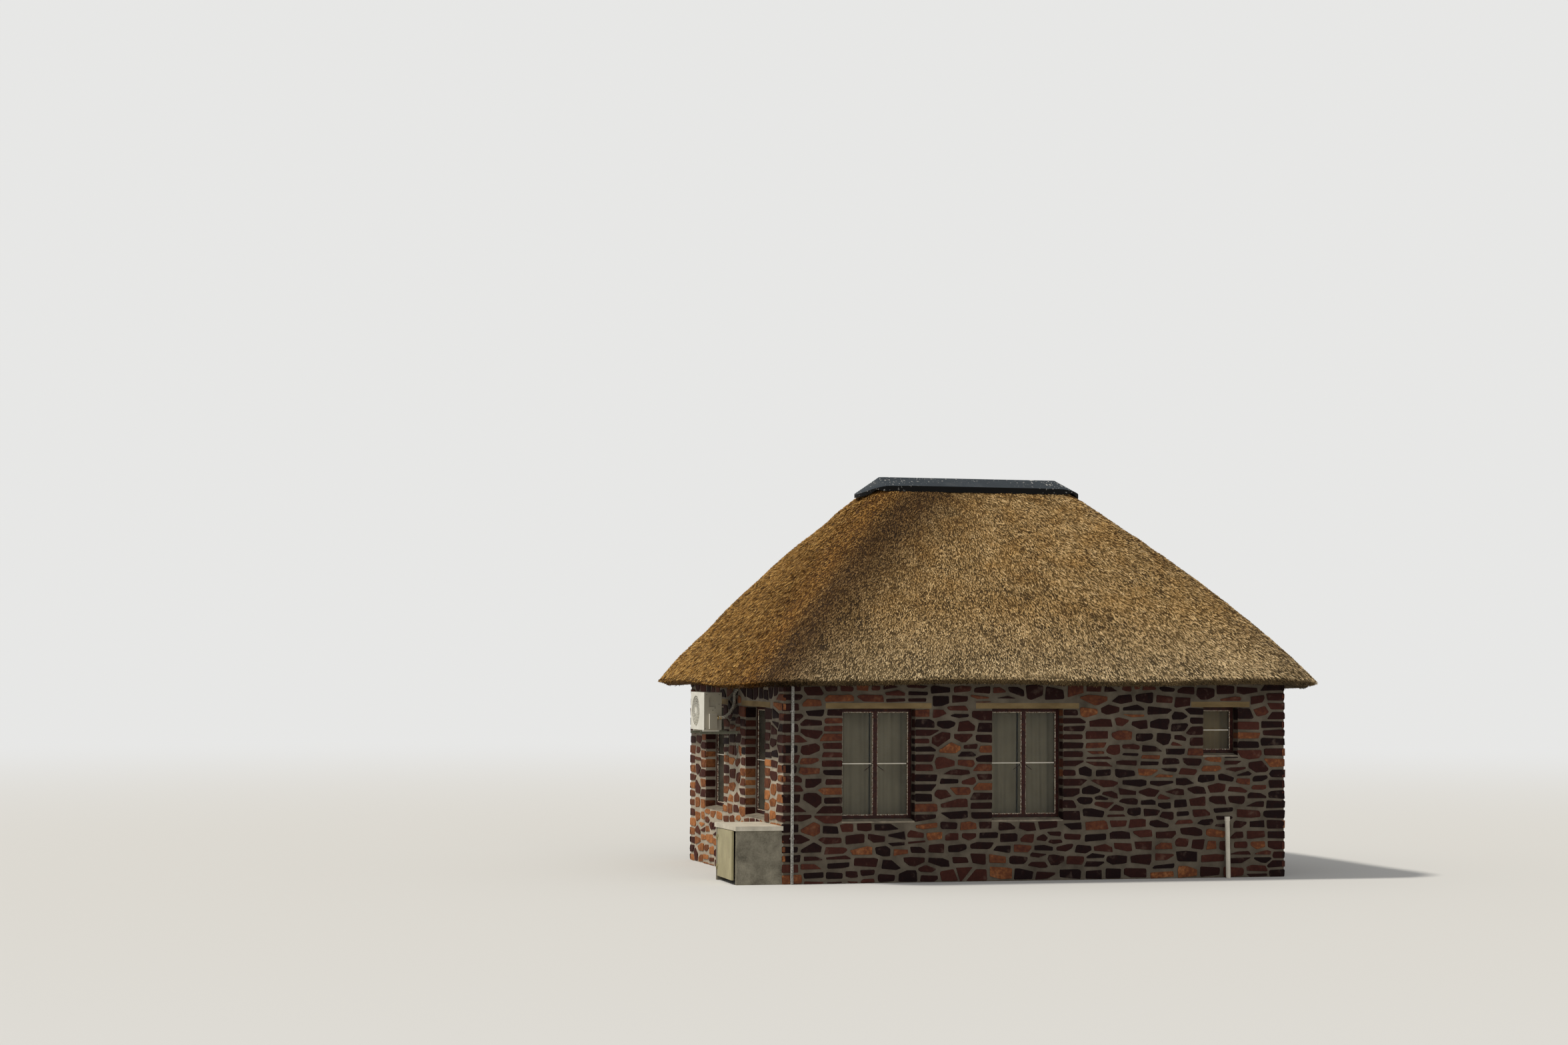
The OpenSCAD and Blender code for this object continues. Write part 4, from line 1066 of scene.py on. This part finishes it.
# %% [markdown]
# Steel windows of this age carry many coats of red-brown oil paint, dulled by the sun, with
# spots of rust. Noise of two sizes gives the dull patches and the spots. A glass shader would
# make the glass, but a nearly clear alpha is faster and survives the export, and a thin film
# of dust in it catches the light.

# %% Window paint and glass
steel = Finish("window paint", 0.5, gloss=0.12)
dull, rust = steel.noise(14, 5), steel.blotch(0.56, 0.68, steel.noise(40, 6))
paint = steel.ramp(dull, (0.3, (0.017, 0.006, 0.005)), (0.7, (0.040, 0.012, 0.010)))
steel.put("Base Color", steel.mix(rust * 0.6, paint, (0.10, 0.036, 0.016)))
steel.put("Roughness", 0.38 + rust * 0.4)
steel.bump(dull * 0.5 + rust * 0.5, 0.0012)
for names in wall_windows.values():
    dress(steel, *names)

glass = Finish("window glass", 0.04, (0.10, 0.11, 0.10), gloss=0.5)
film = glass.noise(6, 4)
glass.put("Alpha", 0.06 + film * 0.08)
glass.put("Roughness", 0.03 + film * 0.08)
dress(glass, *(side + "_panes" for side in wall_order))

# %% [markdown]
# The panes and the curtains are found in the solids as loose boxes, one for each sheet. A walk
# from point to point along the edges gathers each box, so the dressing needs no list of its
# own.

# %% Loose boxes of a node
def loose_boxes(name, side):
    """Lowest and highest corners of each loose part of a node, in wall coordinates."""
    back = wall_frame(side).inverted()
    bm = bmesh.new()
    bm.from_mesh(nodes[name].data)
    bmesh.ops.remove_doubles(bm, verts=bm.verts[:], dist=1e-5)
    found, waiting = [], set(bm.verts)
    while waiting:
        part, edge = set(), [waiting.pop()]
        while edge:
            v = edge.pop()
            part.add(v)
            fresh = {link.other_vert(v) for link in v.link_edges} & waiting
            waiting -= fresh
            edge.extend(fresh)
        spots = np.array([back @ v.co for v in part])
        found.append((Vector(spots.min(0)), Vector(spots.max(0))))
    bm.free()
    return sorted(found, key=lambda pair: pair[0].x)


pane_boxes = {side: loose_boxes(side + "_panes", side) for side in wall_order}
print("panes", {side: len(found) for side, found in pane_boxes.items()})

# %% [markdown]
# Old putty is cracked, and half of its paint has flaked off. A blotchy mask with a hard edge
# shows cream putty through red-brown paint, and feeds the bump too, so that each flake has a
# thickness. The glazing bars were painted cream.

# %% Putty and bar finishes
putty = Finish("flaking putty", 0.8)
flake = putty.blotch(0.46, 0.56, putty.noise(70, 4))
putty.put("Base Color", putty.mix(flake, (0.12, 0.05, 0.035), (0.58, 0.52, 0.40)))
putty.bump(flake + putty.noise(160, 3) * 0.3, 0.002)
cream = streaked("cream bar paint", 0.5, (0.50, 0.46, 0.38), (0.74, 0.70, 0.60), (8, 8, 8), 90)
print("finishes", putty.material.name, "and", cream.material.name)

# %% [markdown]
# Putty is pressed into the corner between sash and glass and struck off at a slope. A swept
# triangle could make it, but a rectangle with an inset is quicker: its outer edge is raised,
# its inner face is deleted, and the sloping strip that is left gets a thin body.

# %% Bead of putty round a pane
putty_rise, putty_wide, putty_off = 0.009, 0.011, 0.0005


def thicken(bm, thickness):
    bmesh.ops.solidify(bm, geom=bm.faces[:], thickness=thickness)
    bmesh.ops.recalc_face_normals(bm, faces=bm.faces[:])
    return bm


def putty_bead(low, high):
    bm = bmesh.new()
    corners = bmesh.ops.create_grid(bm, x_segments=1, y_segments=1, size=0.5)["verts"]
    bmesh.ops.scale(bm, verts=corners, vec=(high.x - low.x, high.y - low.y, 1))
    centre = ((low.x + high.x) / 2, (low.y + high.y) / 2, high.z + putty_off + putty_rise)
    bmesh.ops.translate(bm, verts=corners, vec=centre)
    face = corners[0].link_faces[0]
    bmesh.ops.inset_region(bm, faces=[face], thickness=putty_wide, depth=0, use_boundary=True,
                           use_even_offset=True)
    for v in face.verts:
        v.co.z = high.z + putty_off
    bmesh.ops.delete(bm, geom=[face], context="FACES")
    long_edges = [e for e in bm.edges if e.calc_length() > 0.1]
    bmesh.ops.subdivide_edges(bm, edges=long_edges, cuts=40, use_grid_fill=True)
    for v in bm.verts:
        v.co.x += noise(v.co * 60) * 0.0012
        v.co.z += noise(v.co * 90) * 0.0008
    return thicken(bm, 0.002)


trial = putty_bead(*pane_boxes["front"][0])
print("faces of a bead", len(trial.faces))
trial.free()

# %% [markdown]
# A thin bar crosses each pane, and each tall sash has a stay, a flat arm that hangs from its
# inner edge and holds it open. Both are boxes with bevelled edges, because an edge with no
# bevel catches no light. One helper makes them from two corners.

# %% Bars and stays
bar_half, stay_half, stay_long, stay_lean = 0.0065, 0.005, 0.13, 35


def box_into(bm, low, high):
    made = bmesh.ops.create_cube(bm, size=1)["verts"]
    bmesh.ops.scale(bm, verts=made, vec=high - low)
    bmesh.ops.translate(bm, verts=made, vec=(low + high) / 2)
    edges = dict.fromkeys(e for v in made for e in v.link_edges)
    bevel(bm, list(edges), 0.001)


def stay_arm(low, high, panes):
    """The arm starts at the edge that the sash shares with its neighbour."""
    shared_right = any(0 < other[0].x - high.x < 0.15 for other in panes)
    bm = bmesh.new()
    box_into(bm, Vector((0, -stay_half, -0.002)), Vector((stay_long, stay_half, 0.002)))
    start = (high.x if shared_right else low.x, (low.y + high.y) / 2 - 0.02, low.z - 0.03)
    lean = math.radians(stay_lean - 180 if shared_right else -stay_lean)
    spot = Matrix.Translation(start) @ Matrix.Rotation(lean, 4, "Z")
    bmesh.ops.transform(bm, matrix=spot, verts=bm.verts[:])
    return bm


for side, panes in pane_boxes.items():
    beads, bars, stays = bmesh.new(), bmesh.new(), bmesh.new()
    for low, high in panes:
        pour(putty_bead(low, high), beads)
        middle = (low.y + high.y) / 2
        box_into(bars, Vector((low.x + 0.002, middle - bar_half, high.z + 0.013)),
                 Vector((high.x - 0.026, middle + bar_half, high.z + 0.018)))
        if high.y - low.y > 0.8:
            pour(stay_arm(low, high, panes), stays)
    add_piece(side + "_stays", on_wall(stays, side), steel)
    add_piece(side + "_putty", on_wall(beads, side), putty)
    add_piece(side + "_bars", on_wall(bars, side), cream)

# %% [markdown]
# Curtain lining is plain cloth, faded in broad patches. Its weave is noise stretched along
# the threads, too fine to see but for the way it breaks up the light, so threads needn't be
# drawn one by one. The small windows have a browner lining.

# %% Cloth of the curtains
def lining(name, dark, light, weave_share):
    made = Finish(name, 0.95)
    weave = made.noise(1, 3, made.stretch(500, 500, 180))
    fade = made.noise(2.2, 3)
    if weave_share:
        fade = fade * (1 - weave_share) + weave * weave_share
    made.put("Base Color", made.ramp(fade, (0.3, dark), (0.7, light)))
    made.bump(weave, 0.0006)
    print(name, "with", weave_share, "of weave in its colour")
    return made


cloth = lining("curtain lining", (0.165, 0.142, 0.092), (0.225, 0.197, 0.132), 0.2)
brown = lining("brown curtain lining", (0.19, 0.135, 0.062), (0.27, 0.20, 0.098), 0.0)

# %% [markdown]
# A curtain hangs in soft folds from its rail. A cloth simulation could drape it, but straight
# gathered folds are simply a wave that drifts and deepens downwards. The cloth is wider than
# the window, and its flat width is the length of the wave, measured half way up.

# %% Curtains
fold_wide, cloth_t, at_points = (0.11, 0.15), 0.0015, 400


def hang_curtain(name, side, low, high, finish, dice):
    wide, tall, middle = high.x - low.x, high.y - low.y, (low.z + high.z) / 2
    folds = max(2, round(wide / dice.uniform(*fold_wide)))
    starts = [dice.uniform(-0.25, 0.25) for _ in range(folds + 2)]
    swell = dice.uniform(0.010, 0.014)

    def fold(x, up):
        share = x / wide * folds
        k = int(share)
        drift = starts[k] * (1 - share + k) + starts[k + 1] * (share - k)
        depth = swell * (1.25 - 0.5 * up + 0.3 * math.sin(3 * share + 2 * up))
        return depth * math.sin(2 * math.pi * (share + drift * (1.2 - up)))

    bm = bmesh.new()
    bmesh.ops.create_grid(bm, x_segments=folds * 12, y_segments=12, size=0.5)
    for v in bm.verts:
        x, up = (v.co.x + 0.5) * wide, v.co.y + 0.5
        v.co = Vector((low.x + x, low.y + up * tall, middle + fold(x, up)))
    at_half = [fold(wide * n / at_points, 0.5) for n in range(at_points + 1)]
    flat_wide = sum(math.hypot(wide / at_points, b - a) for a, b in zip(at_half, at_half[1:]))
    thicken(on_wall(bm, side), cloth_t)
    piece = add_piece(name, bm, finish, replaces=(side + "_curtains",), smooth=True)


for side in wall_order:
    dice = random.Random(90 + wall_order.index(side))
    for n, (low, high) in enumerate(loose_boxes(side + "_curtains", side)):
        finish = cloth if high.y - low.y > 1.2 else brown
        hang_curtain(f"{side}_curtain_{n + 1}", side, low, high, finish, dice)

# %% [markdown]
# The cooling unit is sheet steel with a baked off-white coat, gone chalky, with rain streaks below its
# edges. The side that faces the front is darker and warmer as painted shade, but not the edge of the lid.
# The side could be cut off as a mesh of its own, but a solid's mesh is left alone, so a mask by place
# picks the side out.

# %% Casing finish
casing_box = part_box("aircon_casing")
lid_over = 0.042
side_plane = casing_box[0][1] + lid_over
casing = Finish("casing coat", 0.42, gloss=0.4)
chalk = casing.noise(7, 5)
runs = casing.noise(1, 5, casing.stretch(30, 30, 2.5))
across, inwards = casing.axis("Y"), casing.axis("X") - casing_box[0][0]
by_side = casing.blotch(side_plane + 0.024, side_plane + 0.020, across)
near_side = by_side * casing.blotch(0.002, 0.004, inwards)
lid_back, lid_front = side_plane - 0.002, side_plane - 0.041
lid_edge = casing.blotch(lid_back, lid_back - 0.002, across) * casing.blotch(
    lid_front, lid_front + 0.002, across)
coat = casing.ramp(chalk, (0.3, (0.575, 0.555, 0.475)), (0.7, (0.68, 0.66, 0.585)))
weathered = casing.mix(casing.blotch(0.55, 0.8, runs) * 0.35, coat, (0.33, 0.30, 0.24))
# Painted shade: the side facing the front is darkened and warmed, all but the lid's edge.
painted_side_shade = near_side * (1 - lid_edge) * 0.75
casing.put("Base Color", casing.mix(painted_side_shade, weathered, (0.25, 0.215, 0.145)))
casing.put("Roughness", 0.38 + chalk * 0.2)
casing.bump(casing.noise(300, 2), 0.0003)
dress(casing, "aircon_casing", "aircon_grille")

# %% [markdown]
# The unit rests on two wall brackets. The solids give them as square bars, and each is really
# an L of thin steel: a level arm with an upright edge, and a plate bolted to the wall. Thin
# boxes set in an L show that edge, and six-sided cones of equal ends make the bolt heads.

# %% Brackets of the unit
plate_t, flange_t = 0.006, 0.004
bolt_heights, bolt_r, bolt_long = (0.03, 0.2, 0.37), 0.01, 0.01
bracket = streaked("bracket paint", 0.6, (0.13, 0.135, 0.10), (0.26, 0.26, 0.20), (12, 12, 12), 60)


def rod(bm, radius, long, spot, segments=6, tip=None):
    """A bolt, nut, screw or boss, as a cylinder or a cone about the local Z axis."""
    bmesh.ops.create_cone(bm, cap_ends=True, segments=segments, radius1=radius,
                          radius2=radius if tip is None else tip, depth=long, matrix=spot)


bm = bmesh.new()
for low, high in loose_boxes("aircon_bracket", "left"):
    width = high.x - low.x
    box_into(bm, Vector((low.x, high.y - flange_t, plate_t)), high)
    box_into(bm, Vector((low.x, high.y - width, plate_t)),
             Vector((low.x + flange_t, high.y - flange_t, high.z)))
    box_into(bm, Vector((low.x, low.y, 0.0)), Vector((high.x, high.y, plate_t)))
    for up in bolt_heights:
        at = ((low.x + high.x + 2 * flange_t) / 2, low.y + up, plate_t + bolt_long / 2)
        rod(bm, bolt_r, bolt_long, Matrix.Translation(at))
add_piece("bracket_arms", on_wall(bm, "left"), bracket,
          replaces=("aircon_bracket",))

# %% [markdown]
# The pipes are wrapped in foam tape, whose slanting turns show as bands. A strip could be
# wound round them in the mesh, but at this distance a wave texture in the colour and the bump
# gives the same bands, bent a little so that they don't look printed.

# %% Lagging of the pipes
lagging = Finish("pipe lagging", 0.85)
wraps = lagging.node("ShaderNodeTexWave", {"bands_direction": "DIAGONAL"}, Vector=lagging.place,
                     Scale=14.0, Distortion=2.0, Detail=2.0)
grime = lagging.noise(30, 4) * 0.7 + wraps * 0.3
lagging.put("Base Color", lagging.ramp(grime, (0.3, (0.22, 0.205, 0.17)), (0.75, (0.50, 0.47, 0.39))))
lagging.bump(wraps, 0.003)
dress(lagging, "aircon_pipes")

# %% [markdown]
# Behind the grille sits a fan with three broad blades. They could be cut from a disc, but a
# grid bent round the hub keeps even rows of faces, and a little of its width turned to depth
# gives the blade its pitch. The grille's solid gives the centre and the reach.

# %% Fan behind the grille
fan_blades, blade_t, fan_deep = 3, 0.002, 0.034
root_r, tip_gap, hub_r, hub_tip, hub_long = 0.035, 0.025, 0.048, 0.04, 0.04
blade_wide, narrowing, sweep, blade_deep = 1.25, 0.25, 0.35, 0.036
dark_plastic = streaked("fan plastic", 0.5, (0.025, 0.025, 0.026), (0.07, 0.07, 0.07), (8, 8, 8), 60)
grille_low, grille_high = wall_box("left", "aircon_grille")
hub = (grille_low + grille_high) / 2
fan_r = (grille_high.x - grille_low.x) / 2 - tip_gap
bm = bmesh.new()
for k in range(fan_blades):
    for v in bmesh.ops.create_grid(bm, x_segments=10, y_segments=8, size=0.5)["verts"]:
        share, across = v.co.x + 0.5, v.co.y
        radius = root_r + share * (fan_r - root_r)
        bend = across * (blade_wide - narrowing * share) + sweep * share ** 2
        angle = 2 * math.pi * k / fan_blades + bend
        v.co = Vector((radius * math.cos(angle), radius * math.sin(angle), across * blade_deep - fan_deep))
bmesh.ops.solidify(bm, geom=bm.faces[:], thickness=blade_t)
rod(bm, hub_r, hub_long, Matrix.Translation((0, 0, -fan_deep)), 32, hub_tip)
bmesh.ops.recalc_face_normals(bm, faces=bm.faces[:])
bmesh.ops.translate(bm, verts=bm.verts[:], vec=(hub.x, hub.y, grille_low.z))
add_piece("fan_blades", on_wall(bm, "left"), dark_plastic, smooth=True)

# %% [markdown]
# Small fixings make the unit read at its real size: screw heads on its near side, and the two
# brass nuts where the pipes meet the valves. Slots and threads could be cut, but they would be
# smaller than a pixel, so low cones and bevelled six-sided rods do. Their places are measured
# from the unit's top edge and from its face at the wall.

# %% Screws and nuts
unit_h, screw_h, screw_r, screw_tip, nut_long = 0.55, 0.003, 0.0055, 0.0045, 0.02
case_low, case_high = wall_box("left", "aircon_casing")
side_x, case_top, case_back = case_high.x - lid_over, case_high.y, case_low.z
screws = ((-0.03, 0.22), (-0.03, 0.035), (-0.218, 0.095),
          (-0.25, 0.128), (-0.166, 0.037), (-0.508, 0.235))
bm = bmesh.new()
for up, out in screws:
    spot = Matrix.Translation((side_x + screw_h / 2, case_top + up, case_back + out))
    rod(bm, screw_r, screw_h, spot @ Matrix.Rotation(math.pi / 2, 4, "Y"), 12, screw_tip)
add_piece("casing_screws", on_wall(bm, "left"), dark_plastic)

brass = streaked("valve brass", 0.35, (0.42, 0.27, 0.09), (0.62, 0.45, 0.19), (20, 20, 20), 90, gloss=0.5)
brass.put("Metallic", 1.0)
bm = bmesh.new()
for gap, radius in ((0.014, 0.027), (0.052, 0.025)):
    at = (side_x + 0.024, case_top - unit_h + 0.195, case_back + 0.073 - gap)
    rod(bm, radius, nut_long, Matrix.Translation(at))
bevel(bm, bm.edges[:], 0.0015)
add_piece("valve_nuts", on_wall(bm, "left"), brass)

# %% [markdown]
# The pipes are grey plastic and fibre cement, both mottled by sun and lime. The locker's door
# is thin sheet with old cream paint, scratched through to the rust. Their shapes are simple
# and come from the solids, so colour and the size of the noise tell them apart: fine flecks on
# the upright pipe, broad fading and small scratches on the sheet.

# %% Pipe and locker finishes
mottled = Finish("mottled pipe", 0.8)
fleck = mottled.noise(55, 4, rough=0.7)
mottled.put("Base Color", mottled.ramp(fleck * 0.75 + mottled.noise(4, 3) * 0.25,
                                       (0.38, (0.10, 0.096, 0.083)), (0.5, (0.26, 0.25, 0.225)),
                                       (0.62, (0.42, 0.41, 0.38))))
mottled.bump(fleck, 0.0012)
dress(mottled, "upright_pipe")
dress(streaked("pale pipe", 0.6, (0.44, 0.40, 0.32), (0.66, 0.62, 0.53), (6, 6, 3), 70), "short_pipe")

sheet_paint = Finish("locker paint", 0.5)
age = sheet_paint.noise(4, 5)
scratches = sheet_paint.blotch(0.62, 0.7, sheet_paint.noise(26, 6))
old_cream = sheet_paint.ramp(age, (0.3, (0.27, 0.235, 0.125)), (0.7, (0.38, 0.335, 0.195)))
sheet_paint.put("Base Color", sheet_paint.mix(scratches * 0.5, old_cream, (0.16, 0.09, 0.05)))
sheet_paint.put("Roughness", 0.42 + age * 0.2)
sheet_paint.bump(age * 0.7 + sheet_paint.noise(120, 3) * 0.3, 0.0015)
dress(sheet_paint, "locker_door", "locker_hinges")

# %% [markdown]
# The studio is a pale floor that fades into a pale backdrop. A curved sweep would need a wall
# behind the house, which another view would show. A flat floor that fades from a lit colour
# to a glow of the backdrop's own colour looks the same from every side.

# %% Floor
backdrop = (0.80, 0.80, 0.79)
floor = Finish("studio floor", 0.9, gloss=0.0)
far = floor.node("ShaderNodeVectorMath", {"operation": "LENGTH"}, out="Value", i0=floor.place)
fade_from, fade_to, floor_half = 9.0, 60.0, 120
fade = floor.node("ShaderNodeMapRange", {"interpolation_type": "SMOOTHSTEP"}, Value=far,
                  From_Min=fade_from, From_Max=fade_to)
floor.put("Base Color", floor.mix(fade, (0.60, 0.595, 0.58), (0, 0, 0)))
floor.put("Emission Color", floor.mix(fade, (0, 0, 0), backdrop))
floor.put("Emission Strength", 1.0)
bm = bmesh.new()
bmesh.ops.create_grid(bm, x_segments=1, y_segments=1, size=floor_half)
floor_mesh = mesh_of("floor", bm)
floor_mesh.materials.append(floor.material)
ground = bpy.data.objects.new("floor", floor_mesh)
bpy.context.scene.collection.objects.link(ground)
print("floor half width", floor_half)

# %% [markdown]
# The world gives the cottage an even, soft light. A sky could light it too, but it would tint
# the stones. Only what the camera, glass and metal see of the world is the brighter backdrop,
# so the backdrop's brightness adds no light to the object.

# %% World
world = bpy.data.worlds.new("studio")
bpy.context.scene.world = world
world.use_nodes = True
tree = world.node_tree
path = tree.nodes.new("ShaderNodeLightPath")
rays = [Val(tree, path.outputs[f"Is {kind} Ray"]) for kind in ("Camera", "Transmission", "Glossy")]
shown = (rays[0] + rays[1] + rays[2]).math("MINIMUM", 1.0)
background = tree.nodes["Background"]
feed(background.inputs["Color"], backdrop)
feed(background.inputs["Strength"], shown * 0.4 + 0.6)
print("world nodes", len(tree.nodes))

# %% [markdown]
# A soft lamp stands where the sun stood, square on to the left wall and 57 degrees high, so
# the front lies in its own shade as in the photograph. A broad, weak fill opens that shade.
# Area lamps would fade across a house this long, but a sun lamp lights both ends alike.

# %% Lamps
def soft_sun(name, azimuth, height, strength, angle, colour):
    """Azimuth 0 is in front of the house and -90 is on its left."""
    lamp = bpy.data.lights.new(name, "SUN")
    lamp.energy, lamp.angle, lamp.color = strength, math.radians(angle), colour
    holder = bpy.data.objects.new(name, lamp)
    bpy.context.scene.collection.objects.link(holder)
    a, h = math.radians(azimuth), math.radians(height)
    towards = Vector((math.sin(a) * math.cos(h), -math.cos(a) * math.cos(h), math.sin(h)))
    holder.rotation_euler = towards.to_track_quat("Z", "Y").to_euler()
    print(name, "lamp from", azimuth, "degrees,", height, "high")


soft_sun("key", -90, 57, 2.5, 6, (1.0, 0.95, 0.86))
soft_sun("fill", 0, 25, 0.40, 40, (0.99, 0.99, 1.0))
bpy.context.scene.view_settings.view_transform = "Standard"

# %% [markdown]
